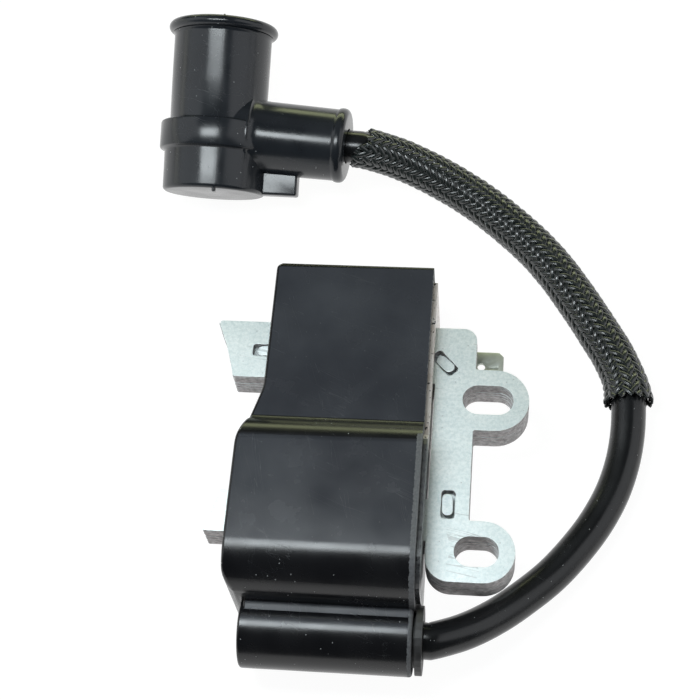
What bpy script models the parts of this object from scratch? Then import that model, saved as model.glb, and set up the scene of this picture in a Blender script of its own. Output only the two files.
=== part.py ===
# Ignition coil of a small two-stroke engine, with its high-tension lead and plug boot.
# Metres, +Z up. The lamination plane is horizontal; the pole faces look towards -X, the two
# mounting ears towards +X. The origin is under the middle of the coil, on the surface it lies on.
import math

import bmesh
import bpy
from mathutils import Matrix, Vector

# ---------------------------------------------------------------- driving dimensions
GAP = 0.0003                    # air left between two pieces that touch or fit
ARC_STEPS = 6                   # straight pieces in a corner arc
ROUND_STEPS = 28                # straight pieces in a full turn

# laminated core
CORE_BOTTOM = 0.0090
CORE_THICKNESS = 0.0070         # 14 laminations of 0.5 mm
CORE_BACK_Y = 0.0277
UPPER_ARM_WIDTH = 0.0117
LOWER_ARM_BACK_Y = -0.0069
LOWER_ARM_WIDTH = 0.0079
YOKE_CLEARANCE = 0.00037        # air between the resin and the yoke
YOKE_WIDTH = 0.0074
YOKE_CORNER_RADIUS = 0.0025
FOOT_CORNER_RADIUS = 0.0045
FLYWHEEL_CENTRE = (-0.07822, 0.00405)
FLYWHEEL_RADIUS = 0.0540
# mounting ears, each a round lobe with a slot for an M5 screw
UPPER_EAR = {"y": 0.0131, "half_width": 0.00615, "reach": 0.0100,
             "slot_x": 0.0025, "slot_length": 0.0093, "slot_width": 0.0058}
LOWER_EAR = {"y": -0.01635, "half_width": 0.00575, "reach": 0.0084,
             "slot_x": 0.0016, "slot_length": 0.0079, "slot_width": 0.0056}
# interlock dimples that hold the laminations together
DIMPLE_SIZE = (0.0055, 0.0025)
DIMPLE_DEPTH = 0.0009

# case, a moulded box that is open towards +X
CASE_WALL = 0.0016
CASE_RIM_X = 0.0111
CASE_BACK_Y = 0.03735
CASE_FRONT_Y = -0.0272
CASE_LEFT_UPPER_X = -0.0187
CASE_LEFT_LOWER_X = -0.0222
FLARE_BACK_Y = 0.0116
FLARE_FRONT_Y = -0.0002
FLARE_ROOM = 0.0016             # kept free of the lower coil inside the flare
UPPER_RISE = 0.0055             # the upper block's top above the core's top
LOWER_RISE = 0.0090             # and the lower block's
LOWER_BACK_RADIUS = 0.0060
LOWER_FLAT_BACK_Y = -0.00025
NOSE_REACH = 0.0082             # the rounded upper front edge, along Y
NOSE_DROP = 0.0080              # and along Z
CASE_EDGE_RADIUS = 0.0010
CASE_FOOT_RADIUS = 0.0030
CASE_CORNER_RADIUS = 0.0035
# lead boss along the front of the case
BOSS_RADIUS = 0.0064
BOSS_Y = -0.03095
BOSS_Z = 0.0096
BOSS_LEFT_X = -0.0195
BOSS_BORE_END_X = -0.0152
LAND_TOP = 0.0156
LAND_BOTTOM = 0.0045
# cast resin
RESIN_PROUD = 0.0008            # how far the resin stands out of the case's mouth
RESIN_FACE = 0.0025             # its thickness over the ends of the windings
RESIN_SKIN = 0.0004             # its least thickness beside a winding pocket

# windings: walls and builds, all measured outward from the core's arms
BOBBIN_WALL = 0.0008
BOBBIN_FLANGE = 0.0009
PRIMARY_BUILD = (0.0024, 0.0015)
SECONDARY_BUILD = (0.0023, 0.0015)
CHARGE_BUILD = (0.0021, 0.0014)
FLANGE_RISE = 0.0004            # how far a flange stands above its winding
CHAMBERS = 5

# circuit board between the two coils, upright along X
BOARD_THICKNESS = 0.0012
BOARD_HEIGHT = 0.0160
BOARD_LENGTH = 0.0240
BOARD_Y = 0.0036
BOARD_BOTTOM = 0.0026
BOARD_LEFT_X = -0.0158
CAPACITOR_ROOM = 0.0013         # between the capacitor and the back of the electronics pocket

# kill switch blade, 6.3 x 0.8 mm
BLADE_WIDTH = 0.0063
BLADE_THICKNESS = 0.0008
BLADE_Y = 0.0239
BLADE_DROP = 0.0010             # air between the core and the blade
BLADE_TIP_X = 0.0247
BLADE_HOLE_X = 0.0205
BLADE_HOLE_RADIUS = 0.00075
BLADE_CHAMFER = 0.0009

# high-tension lead
LEAD_RADIUS = 0.00325
SEAL_PROUD = 0.0015             # how far the seal stands out of the case
SEAL_RADIUS = 0.0061
SEAL_SPIGOT_RADIUS = 0.0048
SEAL_DEPTH = 0.0040
# where the free lead passes between leaving the coil and reaching the mouth of the boot's arm
LEAD_ROUTE = [
    (0.0197, -0.0283, 0.0078), (0.0251, -0.0246, 0.0059), (0.0302, -0.0202, 0.0046),
    (0.0349, -0.0156, 0.0038), (0.0391, -0.0104, 0.0035), (0.0428, -0.0048, 0.0034),
    (0.0458, 0.0015, 0.0034), (0.0477, 0.0082, 0.0037), (0.0485, 0.0151, 0.0044),
    (0.0482, 0.0218, 0.0048), (0.0459, 0.0284, 0.0046), (0.0424, 0.0348, 0.0044),
    (0.0387, 0.0410, 0.0043), (0.0346, 0.0472, 0.0043), (0.0300, 0.0529, 0.0043),
    (0.0247, 0.0580, 0.0045), (0.0190, 0.0625, 0.0051), (0.0129, 0.0659, 0.0065),
    (0.0065, 0.0681, 0.0089), (0.0010, 0.0690, 0.0115),
]
LEAD_STEP = 0.0030              # between the points of the curve that it follows
LEAD_STRAIGHT = 0.0028          # how far it runs straight out of each end
# braided sleeve over the middle of the lead
SLEEVE_WALL = 0.0006
SLEEVE_START = 0.0668           # along the lead from the seal
SLEEVE_BARE = 0.0030            # bare lead left between the sleeve and the boot
SLEEVE_FLARE = 0.0006           # how far the lower end opens out
SLEEVE_FLARE_LENGTH = 0.0060

# plug boot, lying on its closed end and arm with its mouth raised; its arm's line crosses its
# barrel's line at BOOT_CENTRE
BOOT_PITCH = math.radians(25.6)
BOOT_PLACE = (-0.0352, 0.0717)
ARM_HEADING = math.radians(-5.1)
ARM_TO_BARREL = math.radians(93.3)
BARREL_RADIUS = 0.00975
BARREL_MOUTH_RADIUS = 0.0099
BARREL_MOUTH = 0.0221           # from the centre to the mouth
BARREL_CLOSED = 0.0124          # from the centre to the closed end
CLOSED_RADIUS = 0.0104
CLOSED_EDGE = 0.0008
LIP_RADIUS = 0.0112
LIP_WIDTH = 0.0022
BAND_RADIUS = 0.0115
BAND_FROM = -0.0040
BAND_TO = 0.0016
PLUG_BORE_RADIUS = 0.0066
PLUG_BORE_DEPTH = 0.0140
SPRING_BORE_RADIUS = 0.0056
SPRING_BORE_END = -0.0085
ARM_RADIUS = 0.0074
ARM_END_RADIUS = 0.0072
ARM_LENGTH = 0.0270
BEAD_RADIUS = 0.0075
BEAD_WIDTH = 0.0022
TAB_REACH = 0.0172
TAB_WIDTH = 0.0055
TAB_TOP = 0.0010                # from the barrel's line
TAB_THICKNESS = 0.0035
# plug contact
SPRING_RADIUS = 0.0044
SPRING_WIRE_RADIUS = 0.0005
SPRING_TURNS = 6
SPRING_FROM = -0.0077
SPRING_TO = 0.0072
PIN_RADIUS = 0.0006

# ---------------------------------------------------------------- worked out from them
CORE_TOP = CORE_BOTTOM + CORE_THICKNESS
CORE_MID = CORE_BOTTOM + CORE_THICKNESS / 2
UPPER_TOP = CORE_TOP + UPPER_RISE
LOWER_TOP = CORE_TOP + LOWER_RISE
UPPER_ARM_Y = CORE_BACK_Y - UPPER_ARM_WIDTH / 2
LOWER_ARM_Y = LOWER_ARM_BACK_Y - LOWER_ARM_WIDTH / 2
CORE_FRONT_Y = LOWER_EAR["y"] - LOWER_EAR["half_width"]
RESIN_OUTER_X = CASE_RIM_X + RESIN_PROUD
YOKE_INNER_X = RESIN_OUTER_X + YOKE_CLEARANCE
YOKE_OUTER_X = YOKE_INNER_X + YOKE_WIDTH
SEAL_FACE_X = CASE_RIM_X + SEAL_PROUD
COIL_RIGHT_X = RESIN_OUTER_X - RESIN_FACE - GAP
COIL_LEFT_X = CASE_LEFT_LOWER_X + CASE_WALL + FLARE_ROOM
CHARGE_LEFT_X = CASE_LEFT_UPPER_X + CASE_WALL + GAP
BOOT_HEIGHT = ((BARREL_CLOSED - CLOSED_EDGE) * math.sin(BOOT_PITCH)
               + (CLOSED_RADIUS - CLOSED_EDGE) * math.cos(BOOT_PITCH) + CLOSED_EDGE)
BOOT_CENTRE = (*BOOT_PLACE, BOOT_HEIGHT)
ARM_FRAME = (Matrix.Translation(BOOT_CENTRE) @ Matrix.Rotation(ARM_HEADING, 4, "Z")
             @ Matrix.Rotation(BOOT_PITCH, 4, "X"))
BOOT_FRAME = ARM_FRAME @ Matrix.Rotation(ARM_TO_BARREL - math.pi / 2, 4, "Z")


# ---------------------------------------------------------------- scene and materials
def clear_scene():
    for item in list(bpy.data.objects):
        bpy.data.objects.remove(item, do_unlink=True)


def collection(name):
    made = bpy.data.collections.new(name)
    bpy.context.scene.collection.children.link(made)
    return made


def material(name, colour, roughness, metallic=0.0):
    made = bpy.data.materials.new(name)
    made.use_nodes = True
    made.diffuse_color = (*colour, 1.0)
    shader = made.node_tree.nodes["Principled BSDF"]
    shader.inputs["Base Color"].default_value = (*colour, 1.0)
    shader.inputs["Roughness"].default_value = roughness
    shader.inputs["Metallic"].default_value = metallic
    return made


clear_scene()
PARTS = collection("ignition_coil")
CUTTERS = collection("cutters")


def part(name, mesh_object, colour, roughness, metallic=0.0):
    """Makes mesh_object the part of this name, with a material of its own."""
    mesh_object.name = name
    mesh_object.data.name = name
    mesh_object.data.materials.clear()
    mesh_object.data.materials.append(material(name, colour, roughness, metallic))
    PARTS.objects.link(mesh_object)
    return mesh_object


def cutter(mesh_object):
    CUTTERS.objects.link(mesh_object)
    mesh_object.hide_render = True
    mesh_object.display_type = "WIRE"
    return mesh_object


def combine(target, tool, operation="DIFFERENCE"):
    modifier = target.modifiers.new(operation.lower(), "BOOLEAN")
    modifier.operation = operation
    modifier.object = cutter(tool)
    return target


# ---------------------------------------------------------------- shapes
def object_from_bmesh(name, shape, frame=None):
    if frame is not None:
        bmesh.ops.transform(shape, matrix=frame, verts=shape.verts)
    bmesh.ops.recalc_face_normals(shape, faces=shape.faces)
    mesh = bpy.data.meshes.new(name)
    shape.to_mesh(mesh)
    shape.free()
    return bpy.data.objects.new(name, mesh)


def mesh_from_curve(curve_object):
    """The curve's evaluated mesh as an object, with the caps joined to the sides."""
    bpy.context.scene.collection.objects.link(curve_object)
    bpy.context.view_layer.update()
    evaluated = curve_object.evaluated_get(bpy.context.evaluated_depsgraph_get())
    mesh = bpy.data.meshes.new_from_object(evaluated)
    place = curve_object.matrix_world.copy()
    name = curve_object.name
    bpy.data.objects.remove(curve_object, do_unlink=True)
    shape = bmesh.new()
    shape.from_mesh(mesh)
    bmesh.ops.remove_doubles(shape, verts=shape.verts, dist=0.000001)
    bpy.data.meshes.remove(mesh)
    return object_from_bmesh(name, shape, place)


def poly_spline(curve, points, cyclic):
    spline = curve.splines.new("POLY")
    spline.points.add(len(points) - 1)
    for point, place in zip(spline.points, points):
        point.co = (*place, 0.0, 1.0) if len(place) == 2 else (*place, 1.0)
    spline.use_cyclic_u = cyclic


def plate(name, outlines, low, high, frame=None):
    """A flat plate between two heights; outlines after the first are holes."""
    curve = bpy.data.curves.new(name, "CURVE")
    curve.dimensions = "2D"
    curve.fill_mode = "BOTH"
    curve.extrude = (high - low) / 2
    for outline in outlines:
        poly_spline(curve, outline, True)
    made = bpy.data.objects.new(name, curve)
    made.matrix_world = (frame or Matrix()) @ Matrix.Translation((0, 0, (low + high) / 2))
    return mesh_from_curve(made)


def along_x(name, outlines, low, high):
    """A bar along X whose outlines are given as (y, z)."""
    turn = Matrix(((0, 0, 1, 0), (1, 0, 0, 0), (0, 1, 0, 0), (0, 0, 0, 1)))
    return plate(name, outlines, low, high, turn)


def box(name, low, high):
    shape = bmesh.new()
    bmesh.ops.create_cube(shape, size=1.0)
    low = Vector(low)
    high = Vector(high)
    frame = Matrix.Translation((low + high) / 2) @ Matrix.Diagonal((*(high - low), 1.0))
    return object_from_bmesh(name, shape, frame)


def rod(name, radius, low, high, frame, end_radius=None, steps=ROUND_STEPS):
    """A round bar, or a cone, along the frame's own X."""
    shape = bmesh.new()
    bmesh.ops.create_cone(shape, cap_ends=True, segments=steps, depth=high - low,
                          radius1=radius, radius2=radius if end_radius is None else end_radius)
    lay = Matrix.Translation(((low + high) / 2, 0, 0)) @ Matrix.Rotation(math.pi / 2, 4, "Y")
    return object_from_bmesh(name, shape, frame @ lay)


def turned(name, profile, frame, steps=ROUND_STEPS):
    """A turned solid about the frame's own Y, from (radius, y) pairs that start and end on it."""
    shape = bmesh.new()
    points = [shape.verts.new((radius, height, 0.0)) for radius, height in profile]
    for first, second in zip(points, points[1:]):
        shape.edges.new((first, second))
    mesh = bpy.data.meshes.new(name)
    shape.to_mesh(mesh)
    shape.free()
    made = bpy.data.objects.new(name, mesh)
    screw = made.modifiers.new("turn", "SCREW")
    screw.axis = "Y"
    screw.steps = steps
    screw.render_steps = steps
    screw.use_merge_vertices = True
    screw.merge_threshold = 0.000001
    return mesh_from_curve_like(made, frame)


def mesh_from_curve_like(made, frame):
    """The evaluated mesh of an object with modifiers, moved into the frame."""
    bpy.context.scene.collection.objects.link(made)
    bpy.context.view_layer.update()
    evaluated = made.evaluated_get(bpy.context.evaluated_depsgraph_get())
    mesh = bpy.data.meshes.new_from_object(evaluated)
    name = made.name
    bpy.data.objects.remove(made, do_unlink=True)
    shape = bmesh.new()
    shape.from_mesh(mesh)
    bmesh.ops.remove_doubles(shape, verts=shape.verts, dist=0.000001)
    bpy.data.meshes.remove(mesh)
    return object_from_bmesh(name, shape, frame)


def tube(name, points, radius, resolution=2):
    curve = bpy.data.curves.new(name, "CURVE")
    curve.dimensions = "3D"
    curve.bevel_depth = radius
    curve.bevel_resolution = resolution
    curve.use_fill_caps = True
    poly_spline(curve, points, False)
    return bpy.data.objects.new(name, curve)


def arc(centre, radius, start, end, steps=ARC_STEPS):
    """Points on an arc, angles in degrees."""
    found = []
    for step in range(steps + 1):
        angle = math.radians(start + (end - start) * step / steps)
        found.append((centre[0] + radius * math.cos(angle),
                      centre[1] + radius * math.sin(angle)))
    return found


def rounded(corners, steps=ARC_STEPS):
    """The outline through (x, y, radius) corners, each corner turned with its radius."""
    found = []
    for index, (x, y, radius) in enumerate(corners):
        corner = Vector((x, y))
        before = Vector(corners[index - 1][:2]) - corner
        after = Vector(corners[(index + 1) % len(corners)][:2]) - corner
        if radius <= 0.0:
            found.append((x, y))
            continue
        before.normalize()
        after.normalize()
        half = before.angle(after) / 2
        middle = corner + (before + after).normalized() * radius / math.sin(half)
        first = corner + before * radius / math.tan(half) - middle
        last = corner + after * radius / math.tan(half) - middle
        turn = math.atan2(first.x * last.y - first.y * last.x, first.dot(last))
        for step in range(steps + 1):
            angle = turn * step / steps
            found.append((middle.x + first.x * math.cos(angle) - first.y * math.sin(angle),
                          middle.y + first.x * math.sin(angle) + first.y * math.cos(angle)))
    return without_doubles(found)


def without_doubles(points, least=0.00001):
    kept = []
    for point in points:
        if not kept or math.dist(point, kept[-1]) > least:
            kept.append(point)
    if math.dist(kept[0], kept[-1]) <= least:
        kept.pop()
    return kept


def rectangle(centre, half, radius):
    x, y = centre
    return rounded([(x - half[0], y - half[1], radius), (x + half[0], y - half[1], radius),
                    (x + half[0], y + half[1], radius), (x - half[0], y + half[1], radius)])


def smooth_route(points, spacing):
    """Points at even spacing on a smooth curve through the given ones."""
    fine = []
    ends = [2 * Vector(points[0]) - Vector(points[1])] + [Vector(p) for p in points]
    ends.append(2 * ends[-1] - ends[-2])
    for a, b, c, d in zip(ends, ends[1:], ends[2:], ends[3:]):
        for step in range(12):
            t = step / 12
            fine.append(0.5 * (2 * b + (c - a) * t + (2 * a - 5 * b + 4 * c - d) * t * t
                               + (3 * b - a - 3 * c + d) * t ** 3))
    fine.append(Vector(points[-1]))
    lengths = [0.0]
    for first, second in zip(fine, fine[1:]):
        lengths.append(lengths[-1] + (second - first).length)
    count = round(lengths[-1] / spacing)
    return [point_at(fine, lengths, lengths[-1] * n / count) for n in range(count + 1)]


def point_at(points, lengths, distance):
    for index in range(1, len(points)):
        if lengths[index] >= distance - 1e-9:
            share = (distance - lengths[index - 1]) / (lengths[index] - lengths[index - 1])
            return points[index - 1].lerp(points[index], share)
    return points[-1]


# ---------------------------------------------------------------- laminated core
def pole_face(y):
    """Where the flywheel's arc, with its air gap, crosses this y."""
    reach = math.sqrt(FLYWHEEL_RADIUS ** 2 - (y - FLYWHEEL_CENTRE[1]) ** 2)
    return FLYWHEEL_CENTRE[0] + reach


def pole_arc(high, low):
    steps = 4
    found = []
    for step in range(steps + 1):
        y = high + (low - high) * step / steps
        found.append((pole_face(y), y))
    return found


def ear_corners(ear):
    tip = YOKE_OUTER_X + ear["reach"]
    return [(tip, ear["y"] - ear["half_width"], ear["half_width"] - 0.00001),
            (tip, ear["y"] + ear["half_width"], ear["half_width"] - 0.00001)]


def ear_slot(ear):
    half = (ear["slot_length"] / 2, ear["slot_width"] / 2)
    return rectangle((YOKE_OUTER_X + ear["slot_x"], ear["y"]), half, half[1] - 0.00001)


def core_outline():
    upper_front = CORE_BACK_Y - UPPER_ARM_WIDTH
    lower_front = LOWER_ARM_BACK_Y - LOWER_ARM_WIDTH
    right = YOKE_OUTER_X
    foot = rounded([
        (YOKE_INNER_X, lower_front, 0.0),
        (YOKE_INNER_X, CORE_FRONT_Y, FOOT_CORNER_RADIUS),
        ear_corners(LOWER_EAR)[0],
        ear_corners(LOWER_EAR)[1],
        (right, LOWER_EAR["y"] + LOWER_EAR["half_width"], 0.0),
        (right, UPPER_EAR["y"] - UPPER_EAR["half_width"], 0.0),
        ear_corners(UPPER_EAR)[0],
        ear_corners(UPPER_EAR)[1],
        (right, UPPER_EAR["y"] + UPPER_EAR["half_width"], 0.0),
        (right, CORE_BACK_Y, YOKE_CORNER_RADIUS),
        (pole_face(CORE_BACK_Y), CORE_BACK_Y, 0.0),
    ])
    return without_doubles(
        foot
        + pole_arc(CORE_BACK_Y, upper_front)
        + [(YOKE_INNER_X, upper_front), (YOKE_INNER_X, LOWER_ARM_BACK_Y)]
        + pole_arc(LOWER_ARM_BACK_Y, lower_front)
    )


def dimple(x, y, turn):
    frame = Matrix.Translation((x, y, 0)) @ Matrix.Rotation(math.radians(turn), 4, "Z")
    outline = rectangle((0, 0), (DIMPLE_SIZE[0] / 2, DIMPLE_SIZE[1] / 2), 0.0004)
    return plate("dimple", [outline], CORE_TOP - DIMPLE_DEPTH, CORE_TOP + 0.001, frame)


def make_core():
    outlines = [core_outline(), ear_slot(UPPER_EAR), ear_slot(LOWER_EAR)]
    core = plate("core_stack", outlines, CORE_BOTTOM, CORE_TOP)
    yoke_middle = YOKE_INNER_X + YOKE_WIDTH / 2
    combine(core, dimple(yoke_middle - 0.0021, UPPER_ARM_Y - 0.0015, -47))
    combine(core, dimple(yoke_middle - 0.0001, LOWER_ARM_Y + 0.0031, 90))
    combine(core, dimple(CASE_LEFT_UPPER_X - 0.0009, UPPER_ARM_Y - 0.0002, 0))
    part("core_stack", core, (0.62, 0.66, 0.65), 0.38, 0.9)


def arm_outline(arm_y, arm_width, clearance):
    half = (arm_width / 2 + clearance, CORE_THICKNESS / 2 + clearance)
    return rectangle((arm_y, CORE_MID), half, 0.0)


def arm_passage(arm_y, arm_width, low, high):
    return along_x("arm_passage", [arm_outline(arm_y, arm_width, GAP)], low, high)


# ---------------------------------------------------------------- case and resin
def side_outline(inset):
    """The case seen along X, as (y, z), moved in by inset."""
    foot = max(CASE_FOOT_RADIUS - inset, 0.0005)
    edge = max(CASE_EDGE_RADIUS - inset, 0.0003)
    back = CASE_BACK_Y - inset
    back_radius = LOWER_BACK_RADIUS - inset
    centre_z = LOWER_TOP - LOWER_BACK_RADIUS
    start = math.degrees(math.asin((UPPER_TOP - inset - centre_z) / back_radius))
    shoulder = arc((LOWER_FLAT_BACK_Y, centre_z), back_radius, start, 90)
    nose = [(CASE_FRONT_Y + NOSE_REACH + (NOSE_REACH - inset) * y,
             LOWER_TOP - NOSE_DROP + (NOSE_DROP - inset) * z)
            for y, z in arc((0, 0), 1, 90, 180, ARC_STEPS + 2)]
    corners = [(y, z, 0.0) for y, z in shoulder + nose]
    corners += [(CASE_FRONT_Y + inset, inset, foot), (back, inset, foot),
                (back, UPPER_TOP - inset, edge)]
    return rounded(corners)


def plan_outline(inset, right_x):
    """The case seen from above, moved in by inset on all sides but the open one."""
    corner = max(CASE_CORNER_RADIUS - inset, 0.0005)
    upper = CASE_LEFT_UPPER_X + inset
    lower = CASE_LEFT_LOWER_X + inset
    back = CASE_BACK_Y - inset
    front = CASE_FRONT_Y + inset
    return rounded([(right_x, front, 0.0), (right_x, back, 0.0), (upper, back, 0.0015),
                    (upper, FLARE_BACK_Y, 0.008), (lower, FLARE_FRONT_Y, 0.010),
                    (lower, front, corner)])


def block(name, inset, right_x):
    """The case's main body moved in by inset: its side view cut to its plan."""
    body = along_x(name, [side_outline(inset)], CASE_LEFT_LOWER_X - 0.005, right_x + 0.005)
    plan = plate(name + "_plan", [plan_outline(inset, right_x)], -0.005, LOWER_TOP + 0.005)
    return combine(body, plan, "INTERSECT")


def make_case():
    case = block("case", 0.0, CASE_RIM_X)
    barrel = Matrix.Translation((0, BOSS_Y, BOSS_Z))
    combine(case, rod("boss", BOSS_RADIUS, BOSS_LEFT_X, CASE_RIM_X - 0.0002, barrel), "UNION")
    land = box("land", (BOSS_LEFT_X + 0.0006, BOSS_Y, LAND_BOTTOM),
               (CASE_RIM_X - 0.0004, CASE_FRONT_Y + 0.0009, LAND_TOP))
    combine(case, land, "UNION")
    combine(case, block("case_cavity", CASE_WALL, CASE_RIM_X + 0.002))
    mouth = CASE_RIM_X + 0.002
    combine(case, rod("lead_bore", LEAD_RADIUS + GAP, BOSS_BORE_END_X, mouth, barrel))
    seal_seat = CASE_RIM_X - SEAL_DEPTH
    combine(case, rod("seal_bore", SEAL_SPIGOT_RADIUS + GAP, seal_seat, mouth, barrel))
    left = CASE_LEFT_LOWER_X - 0.002
    combine(case, arm_passage(UPPER_ARM_Y, UPPER_ARM_WIDTH, left, CHARGE_LEFT_X + 0.002))
    combine(case, arm_passage(LOWER_ARM_Y, LOWER_ARM_WIDTH, left, COIL_LEFT_X + 0.002))
    part("case", case, (0.012, 0.012, 0.014), 0.18)


def coil_pocket(arm_y, half, left_x, radius):
    outline = rectangle((arm_y, CORE_MID), (half[0] + GAP, half[1] + GAP), radius)
    return along_x("coil_pocket", [outline], left_x - 0.006, COIL_RIGHT_X + GAP)


def make_resin():
    resin = block("resin", CASE_WALL + GAP, RESIN_OUTER_X)
    combine(resin, coil_pocket(LOWER_ARM_Y, SECONDARY_FLANGE, COIL_LEFT_X, 0.0045))
    combine(resin, coil_pocket(UPPER_ARM_Y, CHARGE_FLANGE, CHARGE_LEFT_X, 0.0010))
    pocket_front = LOWER_ARM_Y + SECONDARY_FLANGE[0] + GAP + RESIN_SKIN
    pocket_top = BOARD_BOTTOM + BOARD_HEIGHT + GAP
    combine(resin, box("board_pocket", (CASE_LEFT_LOWER_X, pocket_front, BOARD_BOTTOM - GAP),
                       (BOARD_LEFT_X + BOARD_LENGTH + GAP, POCKET_BACK_Y, pocket_top)))
    right = RESIN_OUTER_X + 0.002
    combine(resin, arm_passage(UPPER_ARM_Y, UPPER_ARM_WIDTH, 0.0, right))
    combine(resin, arm_passage(LOWER_ARM_Y, LOWER_ARM_WIDTH, 0.0, right))
    low = CORE_BOTTOM - BLADE_DROP - BLADE_THICKNESS
    half = BLADE_WIDTH / 2 + GAP
    combine(resin, box("blade_slot", (BLADE_ROOT_X - GAP, BLADE_Y - half, low - GAP),
                       (right, BLADE_Y + half, low + BLADE_THICKNESS + GAP)))
    barrel = Matrix.Translation((0, BOSS_Y, BOSS_Z))
    combine(resin, rod("seal_room", SEAL_RADIUS + GAP, CASE_RIM_X, right, barrel))
    part("resin", resin, (0.035, 0.034, 0.033), 0.32)


# ---------------------------------------------------------------- bobbins and windings
def grown(half, amount):
    return (half[0] + amount, half[1] + amount)


def stacked(half, build):
    return (half[0] + build[0], half[1] + build[1])


UPPER_ARM_HALF = (UPPER_ARM_WIDTH / 2, CORE_THICKNESS / 2)
LOWER_ARM_HALF = (LOWER_ARM_WIDTH / 2, CORE_THICKNESS / 2)
CHARGE_TUBE = grown(UPPER_ARM_HALF, GAP + BOBBIN_WALL)
CHARGE_OUTER = grown(stacked(CHARGE_TUBE, CHARGE_BUILD), GAP)
CHARGE_FLANGE = grown(CHARGE_OUTER, FLANGE_RISE)
PRIMARY_TUBE = grown(LOWER_ARM_HALF, GAP + BOBBIN_WALL)
PRIMARY_OUTER = grown(stacked(PRIMARY_TUBE, PRIMARY_BUILD), GAP)
PRIMARY_FLANGE = grown(PRIMARY_OUTER, FLANGE_RISE / 2)
SECONDARY_TUBE = grown(PRIMARY_FLANGE, GAP + BOBBIN_WALL)
SECONDARY_OUTER = grown(stacked(SECONDARY_TUBE, SECONDARY_BUILD), GAP)
SECONDARY_FLANGE = grown(SECONDARY_OUTER, FLANGE_RISE)
BLADE_ROOT_X = RESIN_OUTER_X - 0.0018
POCKET_BACK_Y = UPPER_ARM_Y - CHARGE_FLANGE[0] - GAP - RESIN_SKIN
BOARD_FACE_Y = BOARD_Y + BOARD_THICKNESS + GAP


def ring(name, arm_y, inner, outer, radii, low, high):
    """A hollow bar along X around one arm, of rounded rectangles."""
    return along_x(name, [rectangle((arm_y, CORE_MID), outer, radii[1]),
                          rectangle((arm_y, CORE_MID), inner, radii[0])], low, high)


def bobbin(name, arm_y, inner, tube_half, flange, flange_radius, ends, count):
    """A winding tube with count flanges, its first and last at the ends."""
    low, high = ends
    inset = BOBBIN_FLANGE / 2
    core = rectangle((arm_y, CORE_MID), tube_half, 0.0010)
    made = along_x(name, [core], low + inset, high - inset)
    pitch = (high - low - BOBBIN_FLANGE) / (count - 1)
    for index in range(count):
        start = low + index * pitch
        plate_outline = rectangle((arm_y, CORE_MID), flange, flange_radius)
        combine(made, along_x("flange", [plate_outline], start, start + BOBBIN_FLANGE), "UNION")
    hole = rectangle((arm_y, CORE_MID), inner, 0.0002)
    return combine(made, along_x("bobbin_hole", [hole], low - 0.001, high + 0.001))


def winding(name, arm_y, tube_half, outer, radius, low, high, colour):
    made = ring(name, arm_y, grown(tube_half, GAP), outer, (0.0010, radius), low, high)
    part(name, made, colour, 0.35, 0.6)


def make_charge_coil():
    ends = (CHARGE_LEFT_X, COIL_RIGHT_X)
    made = bobbin("charge_bobbin", UPPER_ARM_Y, grown(UPPER_ARM_HALF, GAP), CHARGE_TUBE,
                  CHARGE_FLANGE, 0.0010, ends, 2)
    part("charge_bobbin", made, (0.70, 0.68, 0.60), 0.5)
    winding("charge_winding", UPPER_ARM_Y, CHARGE_TUBE, CHARGE_OUTER, 0.0015,
            ends[0] + BOBBIN_FLANGE + GAP, ends[1] - BOBBIN_FLANGE - GAP, (0.55, 0.20, 0.07))


def make_primary():
    ends = (COIL_LEFT_X, COIL_RIGHT_X)
    made = bobbin("primary_bobbin", LOWER_ARM_Y, grown(LOWER_ARM_HALF, GAP), PRIMARY_TUBE,
                  PRIMARY_FLANGE, 0.0010, ends, 2)
    part("primary_bobbin", made, (0.75, 0.74, 0.70), 0.5)
    winding("primary_winding", LOWER_ARM_Y, PRIMARY_TUBE, PRIMARY_OUTER, 0.0015,
            ends[0] + BOBBIN_FLANGE + GAP, ends[1] - BOBBIN_FLANGE - GAP, (0.60, 0.24, 0.08))


def make_secondary():
    ends = (COIL_LEFT_X, COIL_RIGHT_X)
    made = bobbin("secondary_bobbin", LOWER_ARM_Y, grown(PRIMARY_FLANGE, GAP), SECONDARY_TUBE,
                  SECONDARY_FLANGE, 0.0045, ends, CHAMBERS + 1)
    part("secondary_bobbin", made, (0.78, 0.77, 0.72), 0.5)
    pitch = (ends[1] - ends[0] - BOBBIN_FLANGE) / CHAMBERS
    for index in range(CHAMBERS):
        low = ends[0] + index * pitch + BOBBIN_FLANGE + GAP
        high = ends[0] + (index + 1) * pitch - GAP
        winding(f"secondary_winding_{index + 1}", LOWER_ARM_Y, SECONDARY_TUBE, SECONDARY_OUTER,
                0.0040, low, high, (0.50, 0.17, 0.06))


# ---------------------------------------------------------------- ignition circuit
def on_board(name, x, z, size, colour, roughness=0.5, metallic=0.0):
    """A boxed component standing on the board's back face; size is x, depth, z."""
    low = BOARD_FACE_Y
    made = box(name, (x, low, z), (x + size[0], low + size[1], z + size[2]))
    part(name, made, colour, roughness, metallic)


def round_on_board(name, x, z, radius, length, colour):
    """A component with axial leads, lying along X on the board's back face."""
    lay = Matrix.Translation((0, BOARD_FACE_Y + radius, z))
    part(name, rod(name, radius, x, x + length, lay, steps=16), colour, 0.4)


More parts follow.
